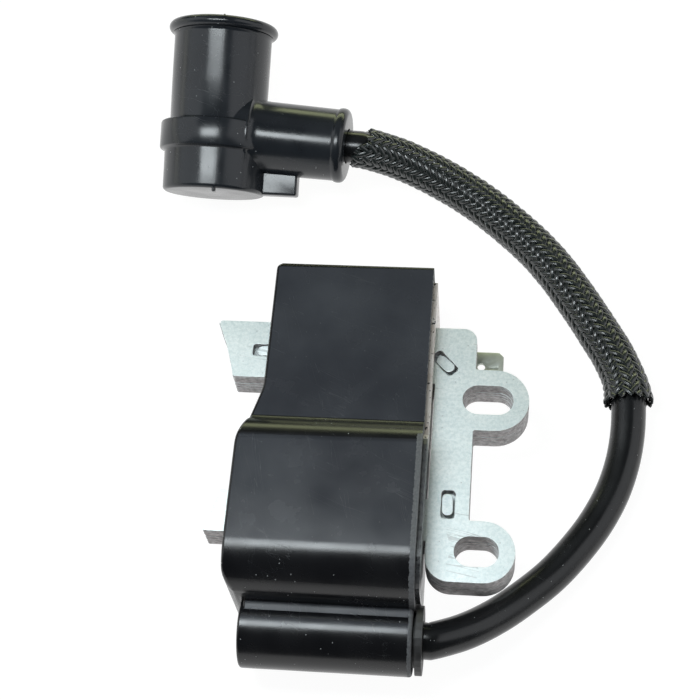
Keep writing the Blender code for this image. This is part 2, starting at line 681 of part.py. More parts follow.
def make_circuit():
    board = box("circuit_board", (BOARD_LEFT_X, BOARD_Y, BOARD_BOTTOM),
                (BOARD_LEFT_X + BOARD_LENGTH, BOARD_Y + BOARD_THICKNESS,
                 BOARD_BOTTOM + BOARD_HEIGHT))
    part("circuit_board", board, (0.05, 0.20, 0.08), 0.5)
    left = BOARD_LEFT_X
    base = BOARD_BOTTOM
    depth = POCKET_BACK_Y - CAPACITOR_ROOM - BOARD_FACE_Y
    on_board("charge_capacitor", left + 0.0008, base + 0.0008, (0.0110, depth, 0.0090),
             (0.55, 0.10, 0.06), 0.35)
    on_board("thyristor", left + 0.0132, base + 0.0010, (0.0080, 0.0028, 0.0080),
             (0.02, 0.02, 0.02))
    on_board("control_chip", left + 0.0135, base + 0.0105, (0.0050, 0.0016, 0.0040),
             (0.02, 0.02, 0.02))
    on_board("resistor_1", left + 0.0200, base + 0.0105, (0.0032, 0.0008, 0.0016),
             (0.03, 0.03, 0.03))
    on_board("resistor_2", left + 0.0200, base + 0.0130, (0.0032, 0.0008, 0.0016),
             (0.03, 0.03, 0.03))
    round_on_board("diode_1", left + 0.0010, base + 0.0118, 0.0012, 0.0050, (0.02, 0.02, 0.02))
    round_on_board("diode_2", left + 0.0070, base + 0.0118, 0.0012, 0.0050, (0.02, 0.02, 0.02))


def make_blade():
    top = CORE_BOTTOM - BLADE_DROP
    half = BLADE_WIDTH / 2
    tip = BLADE_TIP_X
    cut = BLADE_CHAMFER
    outline = [(BLADE_ROOT_X, BLADE_Y - half), (tip - cut, BLADE_Y - half),
               (tip, BLADE_Y - half + cut), (tip, BLADE_Y + half - cut),
               (tip - cut, BLADE_Y + half), (BLADE_ROOT_X, BLADE_Y + half)]
    hole = arc((BLADE_HOLE_X, BLADE_Y), BLADE_HOLE_RADIUS, 0, 360, 16)[:-1]
    made = plate("kill_terminal", [outline, hole], top - BLADE_THICKNESS, top)
    part("kill_terminal", made, (0.75, 0.72, 0.60), 0.3, 1.0)


# ---------------------------------------------------------------- high-tension lead
def make_lead_inside():
    barrel = Matrix.Translation((0, BOSS_Y, BOSS_Z))
    contact = rod("ht_contact", LEAD_RADIUS, BOSS_BORE_END_X + GAP, BOSS_BORE_END_X + 0.0016,
                  barrel)
    combine(contact, rod("spike", 0.0010, BOSS_BORE_END_X + 0.0012, BOSS_BORE_END_X + 0.0036,
                         barrel, 0.0002, 12), "UNION")
    part("ht_contact", contact, (0.80, 0.62, 0.25), 0.3, 1.0)
    inner = rod("lead_coil_end", LEAD_RADIUS, BOSS_BORE_END_X + 0.0039, SEAL_FACE_X, barrel)
    part("lead_coil_end", inner, (0.010, 0.010, 0.011), 0.25)


def make_seal():
    barrel = Matrix.Translation((0, BOSS_Y, BOSS_Z))
    seal = rod("lead_seal", SEAL_RADIUS, CASE_RIM_X + GAP, SEAL_FACE_X, barrel)
    spigot_start = CASE_RIM_X - SEAL_DEPTH + GAP
    combine(seal, rod("spigot", SEAL_SPIGOT_RADIUS, spigot_start, CASE_RIM_X + 0.0008, barrel),
            "UNION")
    combine(seal, rod("passage", LEAD_RADIUS + GAP, spigot_start - 0.001, SEAL_FACE_X + 0.001,
                      barrel))
    part("lead_seal", seal, (0.030, 0.030, 0.030), 0.6)


def lead_points():
    """The free lead from the seal's face to the boot's mouth, straight at both ends."""
    start = Vector((SEAL_FACE_X + GAP, BOSS_Y, BOSS_Z))
    out = Vector((LEAD_STRAIGHT, 0, 0))
    mouth = ARM_FRAME @ Vector((ARM_LENGTH + GAP, 0, 0))
    before = ARM_FRAME @ Vector((ARM_LENGTH + GAP + LEAD_STRAIGHT, 0, 0))
    return smooth_route([start, start + out] + LEAD_ROUTE + [before, mouth], LEAD_STEP)


def make_lead():
    lead = tube("ht_lead", lead_points(), LEAD_RADIUS, 3)
    part("ht_lead", lead, (0.010, 0.010, 0.011), 0.22)


def stretch(points, start, end):
    """The points of a route that lie between two distances along it."""
    kept = []
    along = 0.0
    for index, point in enumerate(points):
        if index:
            along += (point - points[index - 1]).length
        if start <= along <= end:
            kept.append(point)
    return kept


def make_sleeve():
    route = lead_points()
    length = LEAD_STEP * (len(route) - 1)
    points = stretch(route, SLEEVE_START, length - SLEEVE_BARE)
    radius = LEAD_RADIUS + GAP + SLEEVE_WALL
    outer = tube("braided_sleeve", points, radius, 3)
    for point, place in zip(outer.data.splines[0].points, points):
        opening = max(0.0, 1 - (place - points[0]).length / SLEEVE_FLARE_LENGTH)
        point.radius = (radius + SLEEVE_FLARE * opening) / radius
    sleeve = mesh_from_curve(outer)
    bore = [points[0] + (points[0] - points[1])] + points + [2 * points[-1] - points[-2]]
    combine(sleeve, mesh_from_curve(tube("sleeve_bore", bore, LEAD_RADIUS + GAP, 3)))
    part("braided_sleeve", sleeve, (0.020, 0.024, 0.022), 0.6)


# ---------------------------------------------------------------- plug boot
def barrel_profile():
    neck = BARREL_MOUTH - LIP_WIDTH
    closed = -BARREL_CLOSED
    return [(0.0, BARREL_MOUTH), (LIP_RADIUS - 0.0007, BARREL_MOUTH),
            (LIP_RADIUS - 0.0001, BARREL_MOUTH - LIP_WIDTH * 0.3),
            (LIP_RADIUS - 0.0001, BARREL_MOUTH - LIP_WIDTH * 0.6), (LIP_RADIUS - 0.0007, neck),
            (BARREL_MOUTH_RADIUS, neck - 0.0003), (BARREL_RADIUS, BAND_TO + 0.0003),
            (BAND_RADIUS - 0.0003, BAND_TO), (BAND_RADIUS, BAND_TO - 0.0003),
            (BAND_RADIUS, BAND_FROM + 0.0003), (BAND_RADIUS - 0.0003, BAND_FROM),
            (CLOSED_RADIUS + 0.0001, BAND_FROM - 0.0003), (CLOSED_RADIUS, closed + CLOSED_EDGE),
            (CLOSED_RADIUS - CLOSED_EDGE * 0.3, closed + CLOSED_EDGE * 0.3),
            (CLOSED_RADIUS - CLOSED_EDGE, closed), (0.0, closed)]


def arm_rod(name, radius, low, high, end_radius=None, steps=ROUND_STEPS):
    return rod(name, radius, low, high, ARM_FRAME, end_radius, steps)


def make_boot():
    boot = turned("plug_boot", barrel_profile(), BOOT_FRAME)
    neck = ARM_LENGTH - BEAD_WIDTH
    combine(boot, arm_rod("arm", ARM_RADIUS, 0.0, neck + 0.0003, ARM_END_RADIUS), "UNION")
    combine(boot, arm_rod("bead", BEAD_RADIUS, neck, ARM_LENGTH), "UNION")
    tab = box("tab", (CLOSED_RADIUS - 0.0020, -BARREL_CLOSED + 0.0002, TAB_TOP - TAB_THICKNESS),
              (TAB_REACH, -BARREL_CLOSED + TAB_WIDTH, TAB_TOP))
    tab.data.transform(BOOT_FRAME)
    combine(boot, tab, "UNION")
    mouth = BARREL_MOUTH
    throat = mouth - PLUG_BORE_DEPTH
    bore = turned("plug_bore", [
        (0.0, mouth + 0.002), (PLUG_BORE_RADIUS + 0.0008, mouth + 0.002),
        (PLUG_BORE_RADIUS + 0.0008, mouth), (PLUG_BORE_RADIUS, mouth - 0.0014),
        (PLUG_BORE_RADIUS, throat), (SPRING_BORE_RADIUS, throat - 0.001),
        (SPRING_BORE_RADIUS, SPRING_BORE_END), (0.0, SPRING_BORE_END)], BOOT_FRAME)
    combine(boot, bore)
    combine(boot, arm_rod("lead_bore", LEAD_RADIUS + GAP, 0.0, ARM_LENGTH + 0.002))
    part("plug_boot", boot, (0.014, 0.014, 0.016), 0.22)


def make_boot_inside():
    inner = arm_rod("lead_boot_end", LEAD_RADIUS, SPRING_BORE_RADIUS + 0.0014, ARM_LENGTH)
    part("lead_boot_end", inner, (0.010, 0.010, 0.011), 0.25)
    reach = SPRING_RADIUS + SPRING_WIRE_RADIUS + GAP
    pin = arm_rod("contact_pin", PIN_RADIUS, reach, SPRING_BORE_RADIUS + 0.0014 - GAP, steps=10)
    part("contact_pin", pin, (0.70, 0.70, 0.70), 0.3, 1.0)
    steps = SPRING_TURNS * 14
    points = []
    for step in range(steps + 1):
        angle = 2 * math.pi * SPRING_TURNS * step / steps
        y = SPRING_FROM + (SPRING_TO - SPRING_FROM) * step / steps
        points.append(BOOT_FRAME @ Vector((SPRING_RADIUS * math.cos(angle), y,
                                           SPRING_RADIUS * math.sin(angle))))
    spring = tube("contact_spring", points, SPRING_WIRE_RADIUS, 1)
    part("contact_spring", spring, (0.72, 0.72, 0.72), 0.25, 1.0)


def shade_round_parts():
    for made in PARTS.objects:
        if made.type == "MESH":
            made.data.shade_smooth()
            made.data.set_sharp_from_angle(angle=math.radians(35))


make_core()
make_case()
make_resin()
make_charge_coil()
make_primary()
make_secondary()
make_circuit()
make_blade()
make_lead_inside()
make_seal()
make_lead()
make_sleeve()
make_boot()
make_boot_inside()
shade_round_parts()
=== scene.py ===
import math
import random

import bpy
from mathutils import Matrix, Vector, noise


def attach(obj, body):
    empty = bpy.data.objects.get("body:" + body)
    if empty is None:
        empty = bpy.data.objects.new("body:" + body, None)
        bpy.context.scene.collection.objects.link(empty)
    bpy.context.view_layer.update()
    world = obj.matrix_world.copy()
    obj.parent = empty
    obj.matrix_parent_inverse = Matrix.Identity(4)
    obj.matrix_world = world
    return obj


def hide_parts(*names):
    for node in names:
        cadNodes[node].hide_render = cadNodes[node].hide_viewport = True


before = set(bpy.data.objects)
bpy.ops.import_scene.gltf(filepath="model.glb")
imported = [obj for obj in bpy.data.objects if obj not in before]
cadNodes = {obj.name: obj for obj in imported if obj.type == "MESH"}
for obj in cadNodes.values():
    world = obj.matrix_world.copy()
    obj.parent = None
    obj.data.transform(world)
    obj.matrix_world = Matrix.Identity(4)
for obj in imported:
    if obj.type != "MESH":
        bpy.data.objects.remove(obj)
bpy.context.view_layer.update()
print("frame loaded")


# small workshop helpers

def deselectAll():
    for item in list(bpy.context.selected_objects):
        item.select_set(False)


def pickUp(item):
    deselectAll()
    item.select_set(True)
    bpy.context.view_layer.objects.active = item


def enterEdit(item):
    pickUp(item)
    bpy.ops.object.mode_set(mode="EDIT")
    bpy.ops.mesh.select_all(action="SELECT")


def leaveEdit():
    bpy.ops.object.mode_set(mode="OBJECT")


def settle(item):
    # the place goes into the mesh, as on a CAD node
    pickUp(item)
    bpy.ops.object.transform_apply(location=True, rotation=True, scale=True)


def place(item, matrix):
    item.matrix_world = matrix @ item.matrix_world
    settle(item)


def applyModifier(item, modifier):
    pickUp(item)
    bpy.ops.object.modifier_apply(modifier=modifier.name)


def combine(item, tool, operation="DIFFERENCE"):
    modifier = item.modifiers.new("combine", "BOOLEAN")
    modifier.operation = operation
    modifier.solver = "EXACT"
    modifier.object = tool
    name = tool.name
    applyModifier(item, modifier)
    bpy.data.objects.remove(tool, do_unlink=True)
    if not item.data.polygons:
        raise RuntimeError(f"{item.name} was lost when {name} was combined with it")


def bevelEdges(item, width, segments, angle=30.0):
    modifier = item.modifiers.new("bevel", "BEVEL")
    modifier.width = width
    modifier.segments = segments
    modifier.limit_method = "ANGLE"
    modifier.angle_limit = math.radians(angle)
    modifier.use_clamp_overlap = False
    applyModifier(item, modifier)


def tidyNormals(item, merge=0.000001):
    enterEdit(item)
    bpy.ops.mesh.remove_doubles(threshold=merge)
    bpy.ops.mesh.normals_make_consistent(inside=False)
    leaveEdit()


def smoothByAngle(item, angle=35.0):
    pickUp(item)
    bpy.ops.object.shade_smooth_by_angle(angle=math.radians(angle))


def evenNormals(item):
    # big faces stay flat beside small rounded edges
    modifier = item.modifiers.new("evenNormals", "WEIGHTED_NORMAL")
    modifier.keep_sharp = True
    modifier.weight = 100
    applyModifier(item, modifier)


def copyOf(item, name):
    made = item.copy()
    made.data = item.data.copy()
    made.name = name
    bpy.context.scene.collection.objects.link(made)
    return made


def joinAll(items, name):
    deselectAll()
    for item in items:
        item.select_set(True)
    bpy.context.view_layer.objects.active = items[0]
    if len(items) > 1:
        bpy.ops.object.join()
    items[0].name = name
    items[0].data.name = name
    return items[0]


def traceLine(name, points):
    # one vertex is laid down and pulled along the line, point by point
    deselectAll()
    bpy.ops.mesh.primitive_plane_add(size=0.001)
    item = bpy.context.object
    item.name = name
    enterEdit(item)
    bpy.ops.mesh.merge(type="CENTER")
    bpy.ops.transform.translate(value=points[0])
    for before, after in zip(points, points[1:]):
        step = tuple(b - a for a, b in zip(before, after))
        bpy.ops.mesh.extrude_vertices_move(TRANSFORM_OT_translate={"value": step})
    leaveEdit()
    return item


def slab(name, outline, low, high, axis="Z"):
    # a flat outline filled and pulled up; along X the outline is read as (y, z)
    if axis == "Z":
        points = [(x, y, low) for x, y in outline]
        pull = (0, 0, high - low)
    else:
        points = [(low, y, z) for y, z in outline]
        pull = (high - low, 0, 0)
    item = traceLine(name, points)
    enterEdit(item)
    bpy.ops.mesh.edge_face_add()
    bpy.ops.mesh.extrude_region_move(TRANSFORM_OT_translate={"value": pull})
    leaveEdit()
    tidyNormals(item)
    return item


def lathe(name, profile, steps, matrix):
    # profile is (distance from the axis, place along it); it turns about Y
    item = traceLine(name, [(radius, along, 0) for radius, along in profile])
    enterEdit(item)
    bpy.ops.mesh.spin(steps=steps, angle=2 * math.pi, center=(0, 0, 0), axis=(0, 1, 0))
    leaveEdit()
    tidyNormals(item, 0.000004)
    place(item, matrix)
    return item


def rod(name, radius, low, high, matrix, vertices=64):
    # a round bar along the matrix's X
    deselectAll()
    bpy.ops.mesh.primitive_cylinder_add(vertices=vertices, radius=radius, depth=high - low,
                                        location=((low + high) / 2, 0, 0),
                                        rotation=(0, math.pi / 2, 0))
    item = bpy.context.object
    item.name = name
    settle(item)
    place(item, matrix)
    return item


def block(name, low, high):
    deselectAll()
    centre = [(a + b) / 2 for a, b in zip(low, high)]
    bpy.ops.mesh.primitive_cube_add(size=1, location=centre,
                                    scale=[b - a for a, b in zip(low, high)])
    item = bpy.context.object
    item.name = name
    settle(item)
    return item


def arc(centre, radius, start, end, steps):
    found = []
    for step in range(steps + 1):
        angle = math.radians(start + (end - start) * step / steps)
        found.append((centre[0] + radius * math.cos(angle),
                      centre[1] + radius * math.sin(angle)))
    return found


def rounded(corners, steps):
    # corners are (x, y, radius)
    found = []
    for index, (x, y, radius) in enumerate(corners):
        corner = Vector((x, y))
        if radius <= 0:
            found.append((x, y))
            continue
        before = (Vector(corners[index - 1][:2]) - corner).normalized()
        after = (Vector(corners[(index + 1) % len(corners)][:2]) - corner).normalized()
        half = before.angle(after) / 2
        middle = corner + (before + after).normalized() * radius / math.sin(half)
        first = corner + before * radius / math.tan(half) - middle
        last = corner + after * radius / math.tan(half) - middle
        turn = math.atan2(first.x * last.y - first.y * last.x, first.dot(last))
        for step in range(steps + 1):
            bent = Matrix.Rotation(turn * step / steps, 2) @ first
            found.append((middle.x + bent.x, middle.y + bent.y))
    kept = [found[0]]
    for point in found[1:]:
        if math.dist(point, kept[-1]) > 0.00002:
            kept.append(point)
    if math.dist(kept[0], kept[-1]) <= 0.00002:
        kept.pop()
    return kept


# camera

camera = {
    "azimuth": 12.3,
    "elevation": 62.3,
    "roll": -8.8,
    "distance": 0.318,
    "lens": 82.3,
    "aim": (-0.00579, 0.03055, 0.0),
}


def makeCamera():
    a = math.radians(camera["azimuth"])
    e = math.radians(camera["elevation"])
    r = math.radians(camera["roll"])
    back = Vector((math.sin(a) * math.cos(e), -math.cos(a) * math.cos(e), math.sin(e)))
    right = (-back).cross(Vector((0, 0, 1))).normalized()
    up = right.cross(-back).normalized()
    side = math.cos(r) * right + math.sin(r) * up
    top = math.cos(r) * up - math.sin(r) * right
    data = bpy.data.cameras.new("studioCamera")
    data.lens = camera["lens"]
    data.sensor_width = 36.0
    data.clip_start = 0.01
    data.clip_end = 20.0
    item = bpy.data.objects.new("studioCamera", data)
    bpy.context.scene.collection.objects.link(item)
    spot = Vector(camera["aim"]) + back * camera["distance"]
    item.matrix_world = Matrix(((side.x, top.x, back.x, spot.x), (side.y, top.y, back.y, spot.y),
                                (side.z, top.z, back.z, spot.z), (0, 0, 0, 1)))
    bpy.context.scene.camera = item


makeCamera()
print("camera ready")


# materials

def nodeGroup(name, inputs, outputs):
    tree = bpy.data.node_groups.new(name, "ShaderNodeTree")
    for label, kind, value in inputs:
        socket = tree.interface.new_socket(name=label, in_out="INPUT", socket_type=kind)
        if value is not None:
            socket.default_value = value
    for label, kind in outputs:
        tree.interface.new_socket(name=label, in_out="OUTPUT", socket_type=kind)
    return tree, tree.nodes.new("NodeGroupInput"), tree.nodes.new("NodeGroupOutput")


def mathNode(tree, operation, first, second=None, clamp=False):
    node = tree.nodes.new("ShaderNodeMath")
    node.operation = operation
    node.use_clamp = clamp
    for index, value in enumerate((first, second)):
        if value is None:
            continue
        if isinstance(value, (int, float)):
            node.inputs[index].default_value = value
        else:
            tree.links.new(value, node.inputs[index])
    return node.outputs[0]


def makeMottle():
    # slow and fine cloudiness, 0 to 1
    tree, given, put = nodeGroup("cloudyMottle", [
        ("Vector", "NodeSocketVector", None), ("Scale", "NodeSocketFloat", 200.0),
        ("Detail", "NodeSocketFloat", 6.0), ("Low", "NodeSocketFloat", 0.35),
        ("High", "NodeSocketFloat", 0.65)], [("Value", "NodeSocketFloat")])
    cloud = tree.nodes.new("ShaderNodeTexNoise")
    tree.links.new(given.outputs["Vector"], cloud.inputs["Vector"])
    tree.links.new(given.outputs["Scale"], cloud.inputs["Scale"])
    tree.links.new(given.outputs["Detail"], cloud.inputs["Detail"])
    spread = tree.nodes.new("ShaderNodeMapRange")
    tree.links.new(cloud.outputs["Fac"], spread.inputs["Value"])
    tree.links.new(given.outputs["Low"], spread.inputs["From Min"])
    tree.links.new(given.outputs["High"], spread.inputs["From Max"])
    tree.links.new(spread.outputs["Result"], put.inputs["Value"])
    return tree


def makeSpecks():
    # scattered specks of dust: 1 on a speck
    tree, given, put = nodeGroup("dustSpecks", [
        ("Vector", "NodeSocketVector", None), ("Scale", "NodeSocketFloat", 900.0),
        ("Size", "NodeSocketFloat", 0.12), ("Share", "NodeSocketFloat", 0.2)],
        [("Mask", "NodeSocketFloat")])
    cells = tree.nodes.new("ShaderNodeTexVoronoi")
    tree.links.new(given.outputs["Vector"], cells.inputs["Vector"])
    tree.links.new(given.outputs["Scale"], cells.inputs["Scale"])
    near = mathNode(tree, "LESS_THAN", cells.outputs["Distance"], given.outputs["Size"])
    pick = tree.nodes.new("ShaderNodeSeparateColor")
    tree.links.new(cells.outputs["Color"], pick.inputs["Color"])
    chosen = mathNode(tree, "LESS_THAN", pick.outputs["Red"], given.outputs["Share"])
    tree.links.new(mathNode(tree, "MULTIPLY", near, chosen), put.inputs["Mask"])
    return tree


def makeScratches():
    # long thin marks: noise drawn out along one way, kept where it is near its middle
    tree, given, put = nodeGroup("hairScratches", [
        ("Vector", "NodeSocketVector", None), ("Scale", "NodeSocketFloat", 60.0),
        ("Stretch", "NodeSocketFloat", 0.05), ("Turn", "NodeSocketFloat", 0.5),
        ("Width", "NodeSocketFloat", 0.012)], [("Mask", "NodeSocketFloat")])
    turned = tree.nodes.new("ShaderNodeVectorRotate")
    turned.rotation_type = "Z_AXIS"
    tree.links.new(given.outputs["Vector"], turned.inputs["Vector"])
    tree.links.new(given.outputs["Turn"], turned.inputs["Angle"])
    drawn = tree.nodes.new("ShaderNodeVectorMath")
    drawn.operation = "MULTIPLY"
    ratio = tree.nodes.new("ShaderNodeCombineXYZ")
    ratio.inputs[1].default_value = 1.0
    ratio.inputs[2].default_value = 1.0
    tree.links.new(given.outputs["Stretch"], ratio.inputs[0])
    tree.links.new(turned.outputs["Vector"], drawn.inputs[0])
    tree.links.new(ratio.outputs["Vector"], drawn.inputs[1])
    lines = tree.nodes.new("ShaderNodeTexNoise")
    lines.inputs["Detail"].default_value = 3.0
    tree.links.new(drawn.outputs["Vector"], lines.inputs["Vector"])
    tree.links.new(given.outputs["Scale"], lines.inputs["Scale"])
    off = mathNode(tree, "ABSOLUTE", mathNode(tree, "SUBTRACT", lines.outputs["Fac"], 0.5))
    mark = mathNode(tree, "LESS_THAN", off, given.outputs["Width"])
    patchy = tree.nodes.new("ShaderNodeTexNoise")
    patchy.inputs["Scale"].default_value = 90.0
    tree.links.new(given.outputs["Vector"], patchy.inputs["Vector"])
    some = mathNode(tree, "GREATER_THAN", patchy.outputs["Fac"], 0.52)
    tree.links.new(mathNode(tree, "MULTIPLY", mark, some), put.inputs["Mask"])
    return tree


mottle = makeMottle()
specks = makeSpecks()
scratches = makeScratches()


class Finish:
    # a material being put together: its shader, and short ways to feed it
    def __init__(self, name, colour, roughness, metallic=0.0, specular=0.5):
        self.material = bpy.data.materials.new(name)
        self.material.use_nodes = True
        self.tree = self.material.node_tree
        self.shader = self.tree.nodes["Principled BSDF"]
        self.shader.inputs["Base Color"].default_value = (*colour, 1)
        self.shader.inputs["Roughness"].default_value = roughness
        self.shader.inputs["Metallic"].default_value = metallic
        self.shader.inputs["Specular IOR Level"].default_value = specular
        self.vector = self.tree.nodes.new("ShaderNodeTexCoord").outputs["Object"]

    def use(self, group, **values):
        node = self.tree.nodes.new("ShaderNodeGroup")
        node.node_tree = group
        self.tree.links.new(self.vector, node.inputs["Vector"])
        for label, value in values.items():
            node.inputs[label.capitalize()].default_value = value
        return node.outputs[0]

    def between(self, fac, first, last):
        # a number that runs from first to last with fac
        node = self.tree.nodes.new("ShaderNodeMapRange")
        node.inputs["To Min"].default_value = first
        node.inputs["To Max"].default_value = last
        self.tree.links.new(fac, node.inputs["Value"])
        return node.outputs["Result"]

    def mix(self, fac, first, last):
        node = self.tree.nodes.new("ShaderNodeMix")
        node.data_type = "RGBA"
        self.tree.links.new(fac, node.inputs["Factor"])
        for label, value in (("A", first), ("B", last)):
            socket = [s for s in node.inputs if s.name == label and s.type == "RGBA"][0]
            if isinstance(value, tuple):
                socket.default_value = (*value, 1)
            else:
                self.tree.links.new(value, socket)
        return [s for s in node.outputs if s.type == "RGBA"][0]

    def math(self, operation, first, second=None, clamp=False):
        return mathNode(self.tree, operation, first, second, clamp)

    def feed(self, label, value):
        self.tree.links.new(value, self.shader.inputs[label])

    def bump(self, height, distance, strength=1.0):
        node = self.tree.nodes.new("ShaderNodeBump")
        node.inputs["Distance"].default_value = distance
        node.inputs["Strength"].default_value = strength
        self.tree.links.new(height, node.inputs["Height"])
        before = self.shader.inputs["Normal"].links
        if before:
            self.tree.links.new(before[0].from_socket, node.inputs["Normal"])
        self.feed("Normal", node.outputs["Normal"])


def dress(item, finish):
    item.data.materials.clear()
    item.data.materials.append(finish.material)


def glossBlack(name, colour, haze, rough, speckShare):
    # moulded black with cloudy gloss, hair scratches and dust
    made = Finish(name, colour, rough[0], specular=0.5)
    cloud = made.use(mottle, scale=140.0, detail=8.0, low=0.3, high=0.72)
    fine = made.use(mottle, scale=2200.0, detail=3.0, low=0.3, high=0.7)
    marks = made.use(scratches, scale=340.0, stretch=0.05, turn=0.4, width=0.0022)
    crossed = made.use(scratches, scale=300.0, stretch=0.06, turn=1.3, width=0.0014)
    dust = made.use(specks, scale=1500.0, size=0.17, share=speckShare)
    marked = made.math("MAXIMUM", marks, crossed)
    rubbed = made.math("ADD", made.between(cloud, rough[0], rough[1]),
                       made.math("MULTIPLY", marked, 0.08))
    made.feed("Roughness", made.math("ADD", rubbed, made.math("MULTIPLY", dust, 0.3), True))
    base = made.mix(cloud, colour, haze)
    base = made.mix(made.math("MULTIPLY", marked, 0.10), base, (0.10, 0.11, 0.12))
    made.feed("Base Color", made.mix(made.math("MULTIPLY", dust, 0.45), base, (0.45, 0.47, 0.47)))
    made.bump(fine, 0.000003, 0.3)
    made.bump(cloud, 0.00004, 0.2)
    return made


rubberFinish = glossBlack("mouldedRubberBlack", (0.010, 0.012, 0.015), (0.015, 0.018, 0.022),
                          (0.17, 0.27), 0.05)
leadFinish = glossBlack("leadInsulationBlack", (0.0050, 0.0055, 0.0060), (0.008, 0.009, 0.010),
                        (0.20, 0.30), 0.05)
print("materials ready")


# high-tension lead and where it goes

lead = {
    "radius": 0.00325,
    "exit": (0.0129, -0.03095, 0.0096),
    "straight": 0.0010,
    "intoSeal": 0.004,
    "intoBoot": 0.012,
    "route": [
        (0.0197, -0.0283, 0.0078), (0.0251, -0.0246, 0.0059), (0.0302, -0.0202, 0.0046),
        (0.0349, -0.0156, 0.0038), (0.0391, -0.0104, 0.0035), (0.0428, -0.0048, 0.0034),
        (0.0458, 0.0015, 0.0034), (0.0477, 0.0082, 0.0037), (0.0485, 0.0151, 0.0044),
        (0.0482, 0.0218, 0.0048), (0.0459, 0.0284, 0.0046), (0.0424, 0.0348, 0.0044),
        (0.0387, 0.0410, 0.0043), (0.0346, 0.0472, 0.0043), (0.0300, 0.0529, 0.0043),
        (0.0247, 0.0580, 0.0045), (0.0190, 0.0625, 0.0051), (0.0129, 0.0659, 0.0065),
        (0.0065, 0.0681, 0.0089), (0.0010, 0.0690, 0.0115)],
    "step": 0.0010,
}
boot = {
    "centre": (-0.0352, 0.0717, 0.014470),
    "pitch": math.radians(25.6),
    "armHeading": math.radians(-5.1),
    "armToBarrel": math.radians(93.3),
    "armLength": 0.0270,
}
armFrame = (Matrix.Translation(boot["centre"]) @ Matrix.Rotation(boot["armHeading"], 4, "Z")
            @ Matrix.Rotation(boot["pitch"], 4, "X"))
bootFrame = armFrame @ Matrix.Rotation(boot["armToBarrel"] - math.pi / 2, 4, "Z")


def smoothThrough(points, step):
    # evenly spaced points on a smooth curve through the given ones
    ends = [2 * points[0] - points[1]] + list(points) + [2 * points[-1] - points[-2]]
    fine = []
    for a, b, c, d in zip(ends, ends[1:], ends[2:], ends[3:]):
        for part in range(16):
            t = part / 16
            fine.append(0.5 * (2 * b + (c - a) * t + (2 * a - 5 * b + 4 * c - d) * t * t
                               + (3 * b - a - 3 * c + d) * t ** 3))
    fine.append(points[-1])
    found = [fine[0]]
    travelled = 0.0
    wanted = step
    for before, after in zip(fine, fine[1:]):
        piece = (after - before).length
        while piece > 0 and travelled + piece >= wanted:
            found.append(before.lerp(after, (wanted - travelled) / piece))
            wanted += step
        travelled += piece
    return found


def leadLine():
    start = Vector(lead["exit"])
    mouth = armFrame @ Vector((boot["armLength"] + 0.0003, 0, 0))
    before = armFrame @ Vector((boot["armLength"] + 0.0031, 0, 0))
    inside = armFrame @ Vector((boot["armLength"] - lead["intoBoot"], 0, 0))
    points = [start - Vector((lead["intoSeal"], 0, 0)), start,
              start + Vector((lead["straight"], 0, 0))]
    points += [Vector(point) for point in lead["route"]]
    points += [before, mouth, inside]
    return smoothThrough(points, lead["step"])


def makeLead():
    data = bpy.data.curves.new("highTensionLead", "CURVE")
    data.dimensions = "3D"
    data.bevel_depth = lead["radius"]
    data.bevel_resolution = 10
    data.use_fill_caps = True
    line = leadLine()
    spline = data.splines.new("POLY")
    spline.points.add(len(line) - 1)
    for point, spot in zip(spline.points, line):
        point.co = (*spot, 1)
    item = bpy.data.objects.new("highTensionLead", data)
    bpy.context.scene.collection.objects.link(item)
    data.materials.append(leadFinish.material)
    return item


leadPiece = makeLead()
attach(leadPiece, "coil")
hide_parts("ht_lead", "lead_coil_end", "lead_boot_end")
print("lead laid")


# floor and studio light

studio = {
    "floorGlow": 0.95,
    "lampRadiance": 14.0,
    "ceilingRadiance": 0.12,
    "cardRadiance": 3.0,
    "sideRadiance": 1.0,
}


def makeFloor():
    deselectAll()
    bpy.ops.mesh.primitive_plane_add(size=8.0, location=(0, 0, -0.0001))
    item = bpy.context.object
    item.name = "paleFloor"
    settle(item)
    finish = Finish("paleFloorPaint", (0.12, 0.12, 0.12), 0.9)
    finish.shader.inputs["Specular IOR Level"].default_value = 0.0
    finish.shader.inputs["Emission Color"].default_value = (1, 1, 1, 1)
    finish.shader.inputs["Emission Strength"].default_value = studio["floorGlow"]
    grain = finish.use(mottle, scale=14.0, detail=4.0)
    finish.feed("Base Color", finish.mix(grain, (0.115, 0.115, 0.115), (0.13, 0.13, 0.13)))
    dress(item, finish)


def softbox(name, colour, radiance, size, azimuth, elevation, distance, target=(0, 0.02, 0.01)):
    # a rectangular light that looks at the target; azimuth 0 is the front, 90 the right
    a, e = math.radians(azimuth), math.radians(elevation)
    away = Vector((math.sin(a) * math.cos(e), -math.cos(a) * math.cos(e), math.sin(e)))
    data = bpy.data.lights.new(name, "AREA")
    data.shape = "RECTANGLE"
    data.size, data.size_y = size
    data.color = colour
    data.energy = radiance * math.pi * size[0] * size[1]
    item = bpy.data.objects.new(name, data)
    bpy.context.scene.collection.objects.link(item)
    item.matrix_world = (Matrix.Translation(Vector(target) + away * distance)
                         @ away.to_track_quat("Z", "Y").to_matrix().to_4x4())
    item.visible_camera = False


